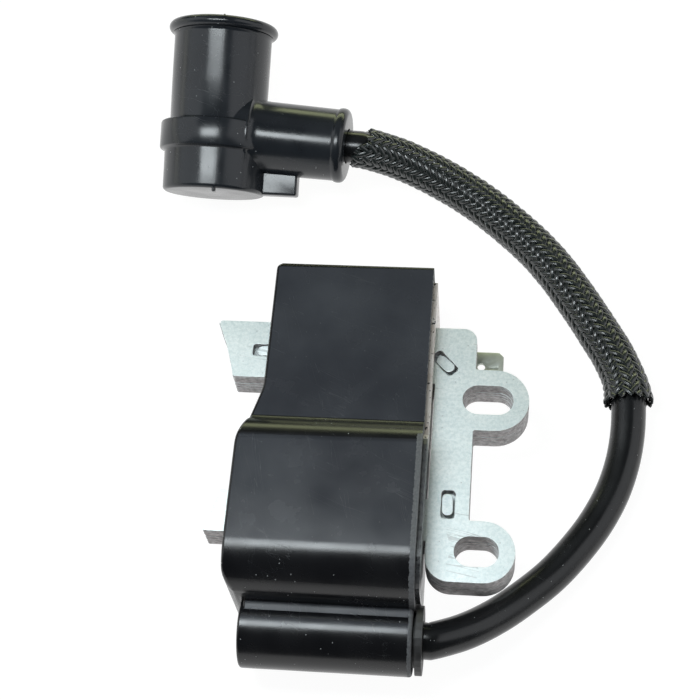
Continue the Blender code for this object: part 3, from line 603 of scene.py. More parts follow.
def makeLights():
    # a near lamp over the coil, a dim ceiling, and cards low at the back and at both sides
    softbox("overheadLamp", (0.90, 0.97, 1.0), studio["lampRadiance"], (0.118, 0.050),
            180, 90, 0.20, (-0.054, 0.0, 0))
    softbox("ceilingPanel", (0.90, 0.95, 1.0), studio["ceilingRadiance"], (1.5, 0.6),
            186, 60, 1.1)
    softbox("khakiCard", (0.93, 1.0, 0.58), studio["cardRadiance"], (1.6, 0.30), 180, 16, 1.1)
    softbox("leftLowCard", (1.0, 1.0, 0.92), 1.2 * studio["sideRadiance"], (1.0, 0.20), 266, 8, 1.0)
    softbox("rightLowCard", (0.97, 0.98, 1.0), studio["sideRadiance"], (1.0, 0.20), 92, 9, 1.0)
    softbox("leftCard", (0.93, 0.97, 1.0), studio["sideRadiance"], (0.8, 0.8), 270, 38, 1.0)
    softbox("rightCard", (0.95, 0.97, 1.0), studio["sideRadiance"], (0.8, 0.8), 90, 38, 1.0)
    world = bpy.data.worlds.new("studioSurround")
    world.use_nodes = True
    tree = world.node_tree
    back = tree.nodes["Background"]
    path = tree.nodes.new("ShaderNodeLightPath")
    blend = tree.nodes.new("ShaderNodeMix")
    blend.data_type = "RGBA"
    colours = [s for s in blend.inputs if s.type == "RGBA"]
    colours[0].default_value = (0.055, 0.057, 0.060, 1)
    colours[1].default_value = (1.0, 1.0, 1.0, 1)
    tree.links.new(path.outputs["Is Camera Ray"], blend.inputs["Factor"])
    tree.links.new([s for s in blend.outputs if s.type == "RGBA"][0], back.inputs["Color"])
    bpy.context.scene.world = world


makeFloor()
makeLights()
bpy.context.scene.view_settings.view_transform = "Standard"
print("studio ready")


# laminated core

core = {
    "bottom": 0.0090, "sheet": 0.0005, "sheets": 14,
    "backY": 0.0277, "upperFrontY": 0.0160, "lowerBackY": -0.0069, "lowerFrontY": -0.0148,
    "yokeLeft": 0.01227, "yokeRight": 0.01967, "cornerRadius": 0.0025, "footRadius": 0.0045,
    "flywheelCentre": (-0.07822, 0.00405), "flywheelRadius": 0.0540,
    "upperEar": {"y": 0.0131, "half": 0.00615, "reach": 0.0100, "slotX": 0.0025,
                 "slot": (0.0093, 0.0058)},
    "lowerEar": {"y": -0.01635, "half": 0.00575, "reach": 0.0084, "slotX": 0.0016,
                 "slot": (0.0079, 0.0056)},
    "dimples": [(0.01387, 0.02035, -47), (0.01587, -0.00775, 90), (-0.0196, 0.02165, 0)],
    "dimpleSize": (0.0055, 0.0025),
    "misfit": 0.000035,
    "burr": 0.00005,
}


def poleX(y):
    centre = core["flywheelCentre"]
    return centre[0] + math.sqrt(core["flywheelRadius"] ** 2 - (y - centre[1]) ** 2)


def poleArc(high, low, steps=12):
    return [(poleX(high + (low - high) * n / steps), high + (low - high) * n / steps)
            for n in range(steps + 1)]


def sheetOutline():
    right = core["yokeRight"]
    upper, lower = core["upperEar"], core["lowerEar"]
    corners = [(core["yokeLeft"], core["lowerFrontY"], 0),
               (core["yokeLeft"], lower["y"] - lower["half"], core["footRadius"])]
    for ear in (lower, upper):
        tip = right + ear["reach"]
        if ear is upper:
            corners.append((right, ear["y"] - ear["half"], 0.0004))
        corners += [(tip, ear["y"] - ear["half"], ear["half"] - 0.00001),
                    (tip, ear["y"] + ear["half"], ear["half"] - 0.00001),
                    (right, ear["y"] + ear["half"], 0.0004)]
    corners += [(right, core["backY"], core["cornerRadius"]),
                (poleX(core["backY"]), core["backY"], 0.0004)]
    return (rounded(corners, 10) + poleArc(core["backY"] - 0.0005, core["upperFrontY"] + 0.0002)
            + [(poleX(core["upperFrontY"]) + 0.0002, core["upperFrontY"]),
               (core["yokeLeft"], core["upperFrontY"]), (core["yokeLeft"], core["lowerBackY"])]
            + [(poleX(core["lowerBackY"]) + 0.0001, core["lowerBackY"])]
            + poleArc(core["lowerBackY"] - 0.0002, core["lowerFrontY"] + 0.0002, 8)
            + [(poleX(core["lowerFrontY"]) + 0.0002, core["lowerFrontY"])])


def roundedBar(name, centre, size, radius, low, high, turn=0.0, steps=8):
    x, y = size[0] / 2, size[1] / 2
    corners = [(-x, -y, radius), (x, -y, radius), (x, y, radius), (-x, y, radius)]
    item = slab(name, rounded(corners, steps), low, high)
    place(item, Matrix.Translation((*centre, 0)) @ Matrix.Rotation(math.radians(turn), 4, "Z"))
    return item


def makeCore():
    random.seed(11)
    low, thick = core["bottom"], core["sheet"]
    sheet = slab("lamination", sheetOutline(), low, low + thick * 0.97)
    for ear in (core["upperEar"], core["lowerEar"]):
        centre = (core["yokeRight"] + ear["slotX"], ear["y"])
        combine(sheet, roundedBar("slot", centre, ear["slot"], ear["slot"][1] / 2 - 0.00001,
                                  low - 0.001, low + 0.002, steps=14))
    tidyNormals(sheet)
    sheets = []
    top = low + thick * core["sheets"]
    for index in range(core["sheets"]):
        one = copyOf(sheet, "lamination")
        slip = core["misfit"] if index < core["sheets"] - 1 else 0
        place(one, Matrix.Translation((random.uniform(-slip, slip), random.uniform(-slip, slip),
                                       index * thick)))
        if index >= core["sheets"] - 4:
            for x, y, turn in core["dimples"]:
                combine(one, roundedBar("dimpleCut", (x, y), core["dimpleSize"], 0.0007,
                                        top - 0.0019, top + 0.001, turn))
        bevelEdges(one, core["burr"], 2, 40)
        sheets.append(one)
    bpy.data.objects.remove(sheet, do_unlink=True)
    for x, y, turn in core["dimples"]:
        # the pressed tongue of each dimple is bowed down inside its window
        long, wide = core["dimpleSize"]
        tongue = roundedBar("dimpleTongue", (0, 0), (long - 0.0014, wide - 0.0004), 0.0010,
                            -0.0002, 0.0002)
        bevelEdges(tongue, 0.00016, 3, 40)
        place(tongue, Matrix.Translation((x, y, top - 0.00048))
              @ Matrix.Rotation(math.radians(turn + 3), 4, "Z") @ Matrix.Translation((0.0001, 0.0001, 0))
              @ Matrix.Rotation(-0.09, 4, "Y") @ Matrix.Rotation(0.05, 4, "X"))
        sheets.append(tongue)
    item = joinAll(sheets, "coreStack")
    smoothByAngle(item, 32)
    evenNormals(item)
    return item


def makeCoreFinish():
    made = Finish("zincPassivatedSteel", (0.60, 0.655, 0.645), 0.42, metallic=0.85)
    grain = made.use(mottle, scale=3800.0, detail=2.0, low=0.25, high=0.75)
    patch = made.use(mottle, scale=170.0, detail=6.0, low=0.3, high=0.7)
    coarse = made.use(mottle, scale=1500.0, detail=3.0, low=0.42, high=0.62)
    dark = made.use(specks, scale=1500.0, size=0.2, share=0.07)
    marks = made.use(scratches, scale=300.0, stretch=0.05, turn=0.2, width=0.006)
    face = made.tree.nodes.new("ShaderNodeNewGeometry")
    split = made.tree.nodes.new("ShaderNodeSeparateXYZ")
    made.tree.links.new(face.outputs["True Normal"], split.inputs["Vector"])
    side = made.math("SUBTRACT", 1.0, made.math("ABSOLUTE", split.outputs["Z"]), True)
    side = made.math("GREATER_THAN", side, 0.55)
    top = made.mix(patch, (0.66, 0.76, 0.77), (0.80, 0.87, 0.87))
    top = made.mix(made.math("MULTIPLY", grain, 0.7), top, (0.95, 0.97, 0.96))
    top = made.mix(made.math("MULTIPLY", coarse, 0.30), top, (0.50, 0.60, 0.61))
    streak = made.use(mottle, scale=1200.0, detail=5.0, low=0.3, high=0.7)
    cut = made.mix(streak, (0.30, 0.28, 0.28), (0.66, 0.64, 0.64))
    base = made.mix(side, top, cut)
    base = made.mix(made.math("MULTIPLY", made.math("MAXIMUM", dark, marks), 0.4), base,
                    (0.30, 0.31, 0.31))
    made.feed("Base Color", base)
    made.feed("Roughness", made.math("ADD", made.between(grain, 0.46, 0.62),
                                     made.math("MULTIPLY", side, 0.16)))
    made.bump(grain, 0.000010, 0.35)
    made.bump(streak, 0.00004, 0.2)
    return made


corePiece = makeCore()
dress(corePiece, makeCoreFinish())
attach(corePiece, "coil")
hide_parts("core_stack")
print("core laminated")


# moulded case

case = {
    "wall": 0.0016, "rim": 0.0111, "back": 0.0379, "lowerBlockBack": 0.002, "front": -0.0272,
    "leftUpper": -0.0187, "leftLower": -0.0222, "flareBack": 0.0116, "flareFront": -0.0002,
    "upperTop": 0.0215, "lowerTop": 0.0250, "backRadius": 0.0060, "flatFromY": -0.00025,
    "noseReach": 0.0082, "noseDrop": 0.0080, "edge": 0.0010, "foot": 0.0030, "corner": 0.0035,
    "edgeRound": 0.0006,
    "bossRadius": 0.0064, "bossY": -0.03095, "bossZ": 0.0096, "bossLeft": -0.0195,
    "boreEnd": -0.0152, "landTop": 0.0156, "landBottom": 0.0045,
    "sealDepth": 0.0040, "sealBore": 0.0053, "leadBore": 0.00355,
}


def caseSide(inset):
    c = case
    centre = c["lowerTop"] - c["backRadius"]
    radius = c["backRadius"] - inset
    start = math.degrees(math.asin((c["upperTop"] - inset - centre) / radius))
    shoulder = arc((c["flatFromY"], centre), radius, start, 90, 20)
    drop, reach = c["noseDrop"] - inset, c["noseReach"] - inset
    nose = [(c["front"] + c["noseReach"] + reach * y, c["lowerTop"] - c["noseDrop"] + drop * z)
            for y, z in arc((0, 0), 1, 90, 180, 28)]
    corners = [(y, z, 0) for y, z in shoulder + nose]
    corners += [(c["front"] + inset, inset, max(c["foot"] - inset, 0.0005)),
                (c["back"] - inset, inset, max(c["foot"] - inset, 0.0005)),
                (c["back"] - inset, c["upperTop"] - inset, max(c["edge"] - inset, 0.0003))]
    return rounded(corners, 10)


def casePlan(inset, right):
    c = case
    upper, lower = c["leftUpper"] + inset, c["leftLower"] + inset
    return rounded([(right, c["front"] + inset, 0), (right, c["back"] - inset, 0),
                    (upper, c["back"] - inset, 0.0015), (upper, c["flareBack"], 0.008),
                    (lower, c["flareFront"], 0.010),
                    (lower, c["front"] + inset, max(c["corner"] - inset, 0.0005))], 12)


def caseBody(name, inset, right):
    body = slab(name, caseSide(inset), case["leftLower"] - 0.005, right + 0.005, "X")
    plan = slab("plan", casePlan(inset, right), -0.005, case["lowerTop"] + 0.005)
    combine(body, plan, "INTERSECT")
    tidyNormals(body)
    return body


def trimAt(item, x):
    enterEdit(item)
    bpy.ops.mesh.bisect(plane_co=(x, 0, 0), plane_no=(1, 0, 0), clear_outer=True, use_fill=True)
    leaveEdit()


def bossLine():
    return Matrix.Translation((0, case["bossY"], case["bossZ"]))


def makeCase():
    c = case
    body = caseBody("case", 0.0, c["rim"] + 0.004)
    bevelEdges(body, c["edgeRound"], 4, 38)
    trimAt(body, c["rim"])
    boss = rod("boss", c["bossRadius"], c["bossLeft"], c["rim"] - 0.0002, bossLine(), 96)
    bevelEdges(boss, 0.0005, 3, 40)
    combine(body, boss, "UNION")
    land = block("land", (c["bossLeft"] + 0.0006, c["bossY"], c["landBottom"]),
                 (c["rim"] - 0.0004, c["front"] + 0.0009, c["landTop"]))
    bevelEdges(land, 0.0005, 3, 40)
    combine(body, land, "UNION")
    combine(body, caseBody("cavity", c["wall"], c["rim"] + 0.002))
    mouth = c["rim"] + 0.002
    combine(body, rod("leadBore", c["leadBore"], c["boreEnd"], mouth, bossLine(), 64))
    combine(body, rod("sealBore", c["sealBore"], c["rim"] - c["sealDepth"], mouth, bossLine(), 64))
    middle = c["leftLower"] - 0.002
    for low, high, right in ((core["upperFrontY"], core["backY"], c["leftUpper"] + 0.004),
                             (core["lowerFrontY"], core["lowerBackY"], c["leftLower"] + 0.0052)):
        combine(body, block("armPassage", (middle, low - 0.0003, core["bottom"] - 0.0003),
                            (right, high + 0.0003, core["bottom"] + 0.0073)))
    tidyNormals(body)
    smoothByAngle(body, 30)
    evenNormals(body)
    return body


def makeCaseFinish():
    made = glossBlack("mouldedGlossyCase", (0.0040, 0.0042, 0.0052), (0.0060, 0.0063, 0.0075),
                      (0.20, 0.30), 0.05)
    # a bluish haze on what faces straight up: some dust, and a painted reflection of the dim surround
    facing = made.tree.nodes.new("ShaderNodeNewGeometry")
    level = made.tree.nodes.new("ShaderNodeSeparateXYZ")
    made.tree.links.new(facing.outputs["Normal"], level.inputs["Vector"])
    flat = made.tree.nodes.new("ShaderNodeMapRange")
    flat.inputs["From Min"].default_value = 0.985
    flat.inputs["From Max"].default_value = 0.9995
    made.tree.links.new(level.outputs["Z"], flat.inputs["Value"])
    dustSheenMottle = made.use(mottle, scale=55.0, detail=7.0, low=0.25, high=0.75)
    clean = made.shader.inputs["Base Color"].links[0].from_socket
    # painted reflection with some dust: a lighter bluish colour on the up-facing flats
    dustAndPaintedSheen = made.mix(dustSheenMottle, (0.016, 0.018, 0.024), (0.046, 0.050, 0.058))
    made.feed("Base Color", made.mix(flat.outputs["Result"], clean, dustAndPaintedSheen))
    # the trimmed mouth is dull and grey, with a ragged edge
    split = made.tree.nodes.new("ShaderNodeSeparateXYZ")
    made.tree.links.new(made.vector, split.inputs["Vector"])
    ragged = made.use(mottle, scale=2400.0, detail=4.0, low=0.2, high=0.8)
    line = made.math("ADD", split.outputs["X"], made.math("MULTIPLY", ragged, 0.0003))
    # wide on the lower block, hardly there on the upper one
    lower = made.math("LESS_THAN", split.outputs["Y"], case["lowerBlockBack"])
    line = made.math("ADD", line, made.math("MULTIPLY", lower, 0.0009))
    trimmed = made.math("GREATER_THAN", line, case["rim"] + 0.0001)
    before = made.shader.inputs["Base Color"].links[0].from_socket
    dull = made.mix(ragged, (0.050, 0.053, 0.057), (0.13, 0.135, 0.14))
    made.feed("Base Color", made.mix(trimmed, before, dull))
    gloss = made.shader.inputs["Roughness"].links[0].from_socket
    made.feed("Roughness", made.math("ADD", gloss, made.math("MULTIPLY", trimmed, 0.35), True))
    return made


casePiece = makeCase()
dress(casePiece, makeCaseFinish())
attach(casePiece, "coil")
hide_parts("case")
print("case moulded")


# plug boot

bootShape = {
    "barrel": 0.00975, "barrelMouth": 0.0099, "mouth": 0.0221, "closed": 0.0124,
    "closedRadius": 0.0104, "closedEdge": 0.0008,
    "lip": 0.0112, "lipWidth": 0.0022, "band": 0.0115, "bandFrom": -0.0040, "bandTo": 0.0016,
    "plugBore": 0.0066, "plugDepth": 0.0140, "springBore": 0.0056, "springBoreEnd": -0.0085,
    "arm": 0.0074, "armEnd": 0.0072, "bead": 0.0075, "beadWidth": 0.0022,
    "tabReach": 0.0172, "tabWidth": 0.0055, "tabTop": 0.0010, "tabThick": 0.0035,
    "leadBore": 0.00355, "boreTurn": 0.021,
    "seamRise": 0.00030, "seamHalf": 0.00018, "seamTurn": 0.22,
}


def bootProfile():
    s = bootShape
    neck = s["mouth"] - s["lipWidth"]
    closed = -s["closed"]
    half = s["lipWidth"] / 2
    lip = [(r, y) for r, y in arc((s["lip"] - half - 0.0001, s["mouth"] - half), half, 90, -90, 10)]
    edge = s["closedEdge"]
    end = arc((s["closedRadius"] - edge, closed + edge), edge, 0, -90, 8)
    band = s["band"]
    return ([(0, s["mouth"])] + lip
            + [(s["barrelMouth"] + 0.0003, neck - 0.0001), (s["barrelMouth"] + 0.00005, neck - 0.0004),
               (s["barrelMouth"], neck - 0.0008), (s["barrel"] + 0.0001, 0.0100),
               (s["barrel"], s["bandTo"] + 0.0006), (s["barrel"] + 0.0001, s["bandTo"] + 0.0003),
               (band - 0.0006, s["bandTo"] + 0.00008), (band - 0.0003, s["bandTo"] - 0.00002),
               (band - 0.0001, s["bandTo"] - 0.00015), (band, s["bandTo"] - 0.0004),
               (band, s["bandFrom"] + 0.0004), (band - 0.0001, s["bandFrom"] + 0.00015),
               (band - 0.0003, s["bandFrom"] + 0.00002),
               (s["closedRadius"] + 0.0004, s["bandFrom"] - 0.0001),
               (s["closedRadius"] + 0.0001, s["bandFrom"] - 0.0004),
               (s["closedRadius"] + 0.00003, -0.0080)]
            + end + [(s["closedRadius"] * 0.5, closed), (0, closed)])


def makeBoot():
    s = bootShape
    body = lathe("plugBoot", bootProfile(), 128, bootFrame)
    neck = boot["armLength"] - s["beadWidth"]
    # the arm is turned too: a flare where it leaves the barrel, then a slight taper to its bead
    flare = [(0, 0.0), (s["arm"] + 0.0013, 0.0), (s["arm"] + 0.0013, 0.0078)]
    flare += [(s["arm"] + 0.0013 - 0.0013 * math.sin(math.radians(a)),
               0.0078 + 0.0030 * (1 - math.cos(math.radians(a)))) for a in range(15, 91, 15)]
    flare += [(s["armEnd"], neck - 0.0002), (s["armEnd"] + 0.00005, neck),
              (s["bead"] - 0.0001, neck + 0.0002), (s["bead"], neck + 0.0006),
              (s["bead"], boot["armLength"] - 0.0012)]
    flare += [(s["bead"] - 0.0012 + x, boot["armLength"] - 0.0012 + y)
              for x, y in arc((0, 0), 0.0012, 15, 90, 6)] + [(0, boot["armLength"])]
    turn = armFrame @ Matrix.Rotation(-math.pi / 2, 4, "Z")
    combine(body, lathe("arm", flare, 96, turn), "UNION")
    tab = block("tab", (s["closedRadius"] - 0.0020, -s["closed"] + 0.0002,
                        s["tabTop"] - s["tabThick"]),
                (s["tabReach"], -s["closed"] + s["tabWidth"], s["tabTop"]))
    bevelEdges(tab, 0.00045, 4, 40)
    place(tab, bootFrame)
    combine(body, tab, "UNION")
    # the mould's parting line runs over the barrel and round its closed end
    # a hair outside the profile all along, so that no face of it lies in one of the boot's
    rise = s["seamRise"]
    edge = s["closedEdge"] - s["closed"]
    seam = [(s["mouth"] + rise / 3, 0.0090)]
    for r, y in bootProfile()[1:-2]:
        back = rise * min(1.0, max(0.0, (edge - y) / s["closedEdge"]))
        seam.append((y - back + (rise / 3 if y > s["mouth"] - 0.0002 else 0), r + rise))
    seam.append((seam[-1][0], seam[-1][1] - 0.0030))
    fin = slab("seam", seam, -s["seamHalf"], s["seamHalf"], "X")
    seamFrame = bootFrame @ Matrix.Rotation(s["seamTurn"], 4, "Y")
    place(fin, seamFrame)
    combine(body, fin, "UNION")
    # and ends in a low pip at the closed end's edge
    nub = block("pip", (-0.00038, -s["closed"] - 0.00065, s["closedRadius"] - 0.0046),
                (0.00042, -s["closed"] + 0.0011, s["closedRadius"] - 0.0004))
    bevelEdges(nub, 0.00028, 4, 40)
    place(nub, seamFrame)
    combine(body, nub, "UNION")
    throat = s["mouth"] - s["plugDepth"]
    bore = lathe("plugBore", [
        (0, s["mouth"] + 0.002), (s["plugBore"] + 0.0014, s["mouth"] + 0.002),
        (s["plugBore"] + 0.0014, s["mouth"] + 0.0001), (s["plugBore"] + 0.0008, s["mouth"] - 0.0002),
        (s["plugBore"] + 0.0002, s["mouth"] - 0.0010), (s["plugBore"], s["mouth"] - 0.0020),
        (s["plugBore"], s["mouth"] - 0.0050), (s["plugBore"] - 0.0004, s["mouth"] - 0.0056),
        (s["plugBore"] - 0.0004, s["mouth"] - 0.0066), (s["plugBore"], s["mouth"] - 0.0072),
        (s["plugBore"], throat), (s["springBore"], throat - 0.001),
        (s["springBore"], s["springBoreEnd"]), (0, s["springBoreEnd"])], 96, bootFrame)
    combine(body, bore)
    # turned a little, so that its facets miss the corners of the arm's
    boreFrame = armFrame @ Matrix.Rotation(s["boreTurn"], 4, "X")
    combine(body, rod("leadBore", s["leadBore"], 0.0, boot["armLength"] + 0.002, boreFrame))
    tidyNormals(body)
    smoothByAngle(body, 34)
    return body


bootPiece = makeBoot()
dress(bootPiece, rubberFinish)
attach(bootPiece, "boot")
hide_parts("plug_boot")
print("boot moulded")


# contact spring inside the boot

spring = {"radius": 0.0044, "wire": 0.0005, "turns": 6, "from": -0.0077, "to": 0.0072}


def makeSpring():
    data = bpy.data.curves.new("contactSpring", "CURVE")
    data.dimensions = "3D"
    data.bevel_depth = spring["wire"]
    data.bevel_resolution = 4
    data.use_fill_caps = True
    steps = spring["turns"] * 40
    line = data.splines.new("POLY")
    line.points.add(steps)
    for step, point in enumerate(line.points):
        angle = 2 * math.pi * spring["turns"] * step / steps
        y = spring["from"] + (spring["to"] - spring["from"]) * step / steps
        spot = bootFrame @ Vector((spring["radius"] * math.cos(angle), y,
                                   spring["radius"] * math.sin(angle)))
        point.co = (*spot, 1)
    item = bpy.data.objects.new("contactSpring", data)
    bpy.context.scene.collection.objects.link(item)
    finish = Finish("springWire", (0.62, 0.61, 0.58), 0.28, metallic=1.0)
    drawn = finish.use(mottle, scale=1800.0, detail=3.0)
    finish.feed("Roughness", finish.between(drawn, 0.2, 0.4))
    finish.feed("Base Color", finish.mix(drawn, (0.52, 0.50, 0.46), (0.70, 0.69, 0.66)))
    data.materials.append(finish.material)
    return item


springPiece = makeSpring()
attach(springPiece, "boot")
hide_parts("contact_spring")
print("spring wound")


# kill switch blade

blade = {
    "width": 0.0063, "low": 0.0072, "high": 0.0080, "y": 0.0239, "root": 0.0101,
    "tip": 0.0247, "holeX": 0.0205, "holeRadius": 0.00075, "chamfer": 0.0009,
}


def makeBlade():
    b = blade
    half, cut = b["width"] / 2, b["chamfer"]
    outline = [(b["root"], b["y"] - half), (b["tip"] - cut, b["y"] - half),
               (b["tip"], b["y"] - half + cut), (b["tip"], b["y"] + half - cut),
               (b["tip"] - cut, b["y"] + half), (b["root"], b["y"] + half)]
    item = slab("killBlade", outline, b["low"], b["high"])
    hole = slab("hole", arc((b["holeX"], b["y"]), b["holeRadius"], 0, 350, 35), 0.006, 0.009)
    combine(item, hole)
    stamp = roundedBar("stampLine", (b["holeX"] + 0.0022, b["y"] - 0.0002), (0.0018, 0.00022),
                       0.0001, b["high"] - 0.0001, 0.009)
    combine(item, stamp)
    bevelEdges(item, 0.00012, 2, 40)
    tidyNormals(item)
    smoothByAngle(item, 35)
    return item


def makeBladeFinish():
    made = Finish("tinnedBrass", (0.56, 0.58, 0.52), 0.36, metallic=0.7)
    cloud = made.use(mottle, scale=420.0, detail=6.0, low=0.3, high=0.7)
    fine = made.use(mottle, scale=3000.0, detail=2.0)
    marks = made.use(scratches, scale=420.0, stretch=0.04, turn=0.1, width=0.012)
    base = made.mix(cloud, (0.46, 0.50, 0.45), (0.60, 0.63, 0.57))
    made.feed("Base Color", made.mix(made.math("MULTIPLY", marks, 0.4), base, (0.50, 0.50, 0.45)))
    made.feed("Roughness", made.between(fine, 0.40, 0.58))
    made.bump(cloud, 0.00003, 0.4)
    return made


bladePiece = makeBlade()
dress(bladePiece, makeBladeFinish())
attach(bladePiece, "coil")
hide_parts("kill_terminal")
print("blade stamped")


# braided sleeve

sleeve = {
    "carriers": 16, "turn": 0.0262, "radius": 0.00385, "weave": 0.00017,
    "halfWidth": 0.00047, "halfThick": 0.00022, "stepsPerCrossing": 3.0,
    "start": 0.0668, "bare": 0.0018, "flare": 0.00055, "flareLength": 0.006, "slant": 0.0014,
}


def framesAlong(points):
    # a steady pair of sideways directions carried along a line
    frames = []
    up = Vector((0, 0, 1))
    for index, point in enumerate(points):
        ahead = points[min(index + 1, len(points) - 1)] - points[max(index - 1, 0)]
        ahead.normalize()
        side = ahead.cross(up).normalized()
        frames.append((point, side, side.cross(ahead).normalized(), ahead))
    return frames


def makeSleeve():
    # a weave is too fine to pull up by hand, so its yarns are laid from their own helices
    random.seed(5)
    s = sleeve
    line = leadLine()
    step = lead["step"]
    frames = framesAlong(line)
    length = step * (len(line) - 1) - lead["intoSeal"] - lead["intoBoot"]
    first = s["start"] + lead["intoSeal"]
    last = length - s["bare"] + lead["intoSeal"]
    carriers = s["carriers"]
    crossing = s["turn"] / (2 * carriers)
    advance = crossing / s["stepsPerCrossing"]
    section = [(-1.0, 0.0), (-0.62, 0.78), (0.0, 1.0), (0.62, 0.78), (1.0, 0.0), (0.0, -0.8)]
    vertices, faces, marks = [], [], []

    def spotAt(distance, angle, radius):
        share = min(max(distance / step, 0), len(frames) - 1.001)
        index = int(share)
        share -= index
        a, b = frames[index], frames[index + 1]
        centre = a[0].lerp(b[0], share)
        side = a[1].lerp(b[1], share).normalized()
        lift = a[2].lerp(b[2], share).normalized()
        outward = side * math.cos(angle) + lift * math.sin(angle)
        return centre + outward * radius, outward

    for hand in (1, -1):
        for carrier in range(carriers):
            begin = first - random.uniform(0.0, 0.0005)
            wobble = random.uniform(0, 6.28)
            rings = []
            distance = begin
            while True:
                along = (distance - first) / crossing
                angle = 2 * math.pi * carrier / carriers + hand * math.pi * along / carriers
                end = last - s["slant"] * math.cos(angle - 0.6)
                if distance > end + random.uniform(-0.0001, 0.0002):
                    break
                phase = 2 * carrier + along - 0.5 if hand > 0 else 2 * carrier - along - 0.5
                rise = hand * s["weave"] * math.cos(math.pi / 2 * phase)
                opening = max(0.0, 1 - (distance - first) / s["flareLength"])
                radius = s["radius"] + rise + s["flare"] * opening ** 1.5
                radius += 0.00002 * math.sin(3 * angle + wobble + distance * 900)
                spot, outward = spotAt(distance, angle, radius)
                rings.append((spot, outward))
                distance += advance
            if len(rings) < 3:
                continue
            base = len(vertices)
            for index, (spot, outward) in enumerate(rings):
                ahead = rings[min(index + 1, len(rings) - 1)][0] - rings[max(index - 1, 0)][0]
                ahead.normalize()
                across = ahead.cross(outward).normalized()
                normal = across.cross(ahead).normalized()
                for x, z in section:
                    vertices.append(spot + across * x * s["halfWidth"] + normal * z * s["halfThick"])
            count = len(section)
            for index in range(len(rings) - 1):
                for corner in range(count):
                    a = base + index * count + corner
                    b = base + index * count + (corner + 1) % count
                    faces.append((a, b, b + count, a + count))
                    v = (corner / 4, (corner + 1) / 4) if corner < 4 else (0.0, 0.0)
                    u = (index * advance * 1.41, (index + 1) * advance * 1.41)
                    marks += [(u[0], v[0]), (u[0], v[1]), (u[1], v[1]), (u[1], v[0])]
            for cap, flip in ((base, True), (base + (len(rings) - 1) * count, False)):
                ring = [cap + n for n in range(count)]
                faces.append(tuple(reversed(ring)) if flip else tuple(ring))
                marks += [(0.0, 0.5)] * count
    mesh = bpy.data.meshes.new("braidedSleeve")
    mesh.from_pydata([tuple(v) for v in vertices], [], faces)
    layer = mesh.uv_layers.new(name="yarn")
    for loop, mark in zip(layer.data, marks):
        loop.uv = mark
    item = bpy.data.objects.new("braidedSleeve", mesh)
    bpy.context.scene.collection.objects.link(item)
    tidyNormals(item, 0.0000001)
    smoothByAngle(item, 60)
    return item


def makeSleeveFinish():
    made = Finish("varnishedYarn", (0.010, 0.014, 0.013), 0.24, specular=0.9)
    uv = made.tree.nodes.new("ShaderNodeUVMap")
    uv.uv_map = "yarn"
    split = made.tree.nodes.new("ShaderNodeSeparateXYZ")
    made.tree.links.new(uv.outputs["UV"], split.inputs["Vector"])
    strandsAndGrooveShade = made.math("ABSOLUTE", made.math("SINE", made.math("MULTIPLY", split.outputs["Y"],
                                                                math.pi * 5)))
    cloud = made.use(mottle, scale=900.0, detail=4.0, low=0.3, high=0.7)
    dust = made.use(specks, scale=1500.0, size=0.2, share=0.12)
    # painted shade between the filaments, lighter on their crests
    base = made.mix(strandsAndGrooveShade, (0.004, 0.006, 0.006), (0.013, 0.018, 0.017))
    base = made.mix(made.math("MULTIPLY", cloud, 0.4), base, (0.022, 0.028, 0.027))
    made.feed("Base Color", made.mix(made.math("MULTIPLY", dust, 0.5), base, (0.30, 0.36, 0.34)))
    made.feed("Roughness", made.between(cloud, 0.16, 0.32))
    made.bump(strandsAndGrooveShade, 0.00003, 0.35)
    return made


sleevePiece = makeSleeve()
dress(sleevePiece, makeSleeveFinish())
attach(sleevePiece, "coil")
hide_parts("braided_sleeve")
print("sleeve braided")


# the rest keeps its shape and gets a finish: the potting, the seal and what is inside

def nodeObject(name):
    return cadNodes[name] if not isinstance(cadNodes[name], str) else bpy.data.objects[name]


def dressNode(name, finish):
    item = nodeObject(name)
    if not item.material_slots:
        item.data.materials.append(finish.material)
    for slot in item.material_slots:
        slot.material = finish.material


def plainFinish(name, dark, light, rough, metallic=0.0, scale=500.0):
    made = Finish(name, dark, rough, metallic)
    cloud = made.use(mottle, scale=scale, detail=6.0, low=0.3, high=0.7)
    made.feed("Base Color", made.mix(cloud, dark, light))
    made.feed("Roughness", made.between(cloud, rough - 0.08, rough + 0.1))
    made.bump(cloud, 0.00004, 0.4)
    return made


def woundWithPaintedShade(name, dark, light, pitch):
    # enamelled wire lying turn beside turn along X, with painted shade between the turns and lighter
    # crests
    made = Finish(name, dark, 0.3, metallic=0.8)
    split = made.tree.nodes.new("ShaderNodeSeparateXYZ")
    made.tree.links.new(made.vector, split.inputs["Vector"])
    turns = made.math("ABSOLUTE", made.math("SINE", made.math("MULTIPLY", split.outputs["X"],
                                                              math.pi / pitch)))
    # painted shade: dark in the grooves between turns, light on the crests
    made.feed("Base Color", made.mix(turns, dark, light))
    made.feed("Roughness", made.between(turns, 0.5, 0.25))
    made.bump(turns, pitch / 2, 1.0)
    return made


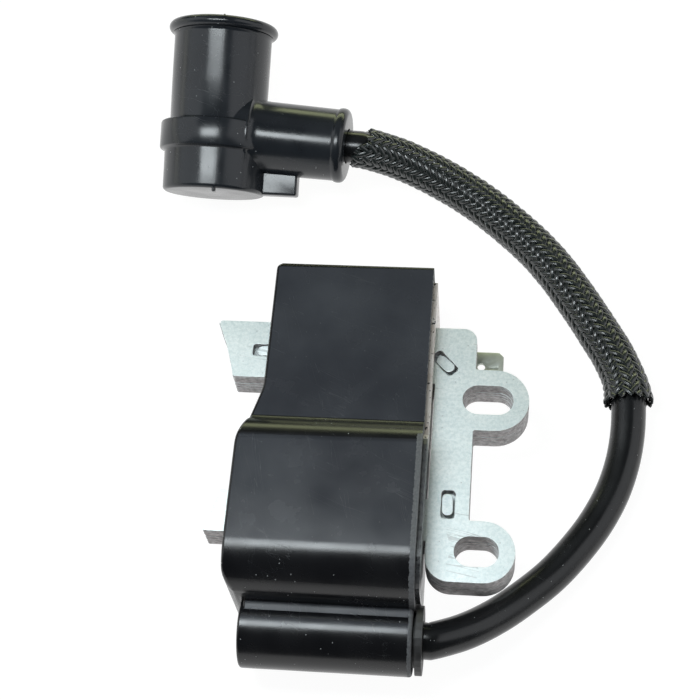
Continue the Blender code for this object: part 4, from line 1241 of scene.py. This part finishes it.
def pottingFinish():
    # pale cast epoxy with black burrs, darker grey along the lower block
    made = plainFinish("castPotting", (0.60, 0.53, 0.48), (0.80, 0.76, 0.73), 0.30)
    burrs = made.use(mottle, scale=1500.0, detail=4.0, low=0.60, high=0.63)
    before = made.shader.inputs["Base Color"].links[0].from_socket
    split = made.tree.nodes.new("ShaderNodeSeparateXYZ")
    made.tree.links.new(made.vector, split.inputs["Vector"])
    lower = made.math("LESS_THAN", split.outputs["Y"], case["lowerBlockBack"])
    cloud = made.use(mottle, scale=700.0, detail=5.0, low=0.2, high=0.8)
    grey = made.mix(cloud, (0.030, 0.032, 0.035), (0.14, 0.145, 0.15))
    before = made.mix(lower, before, grey)
    made.feed("Base Color", made.mix(burrs, before, (0.02, 0.02, 0.022)))
    return made


def makeInside():
    potting = pottingFinish()
    rubber = plainFinish("sealRubber", (0.012, 0.012, 0.012), (0.05, 0.05, 0.05), 0.5)
    nylon = plainFinish("bobbinNylon", (0.62, 0.60, 0.52), (0.74, 0.72, 0.64), 0.45)
    brass = plainFinish("contactBrass", (0.62, 0.46, 0.18), (0.80, 0.64, 0.30), 0.3, 1.0)
    steel = plainFinish("pinSteel", (0.50, 0.50, 0.49), (0.70, 0.70, 0.69), 0.3, 1.0)
    board = plainFinish("boardGreen", (0.02, 0.12, 0.04), (0.05, 0.20, 0.08), 0.4, 0.0, 900.0)
    film = plainFinish("capacitorRed", (0.40, 0.06, 0.03), (0.52, 0.10, 0.05), 0.35)
    epoxy = plainFinish("componentBlack", (0.012, 0.012, 0.012), (0.03, 0.03, 0.03), 0.45)
    wire = woundWithPaintedShade("coarseWire", (0.20, 0.05, 0.02), (0.62, 0.24, 0.08), 0.0004)
    fine = woundWithPaintedShade("fineWire", (0.18, 0.05, 0.02), (0.52, 0.18, 0.07), 0.00022)
    for names, finish in (
            (("resin",), potting), (("lead_seal",), rubber),
            (("charge_bobbin", "primary_bobbin", "secondary_bobbin"), nylon),
            (("ht_contact",), brass), (("contact_pin",), steel), (("circuit_board",), board),
            (("charge_capacitor",), film),
            (("thyristor", "control_chip", "resistor_1", "resistor_2", "diode_1", "diode_2"), epoxy),
            (("charge_winding", "primary_winding"), wire),
            (tuple(f"secondary_winding_{n}" for n in range(1, 6)), fine)):
        for name in names:
            dressNode(name, finish)


makeInside()
print("inside dressed")

deselectAll()
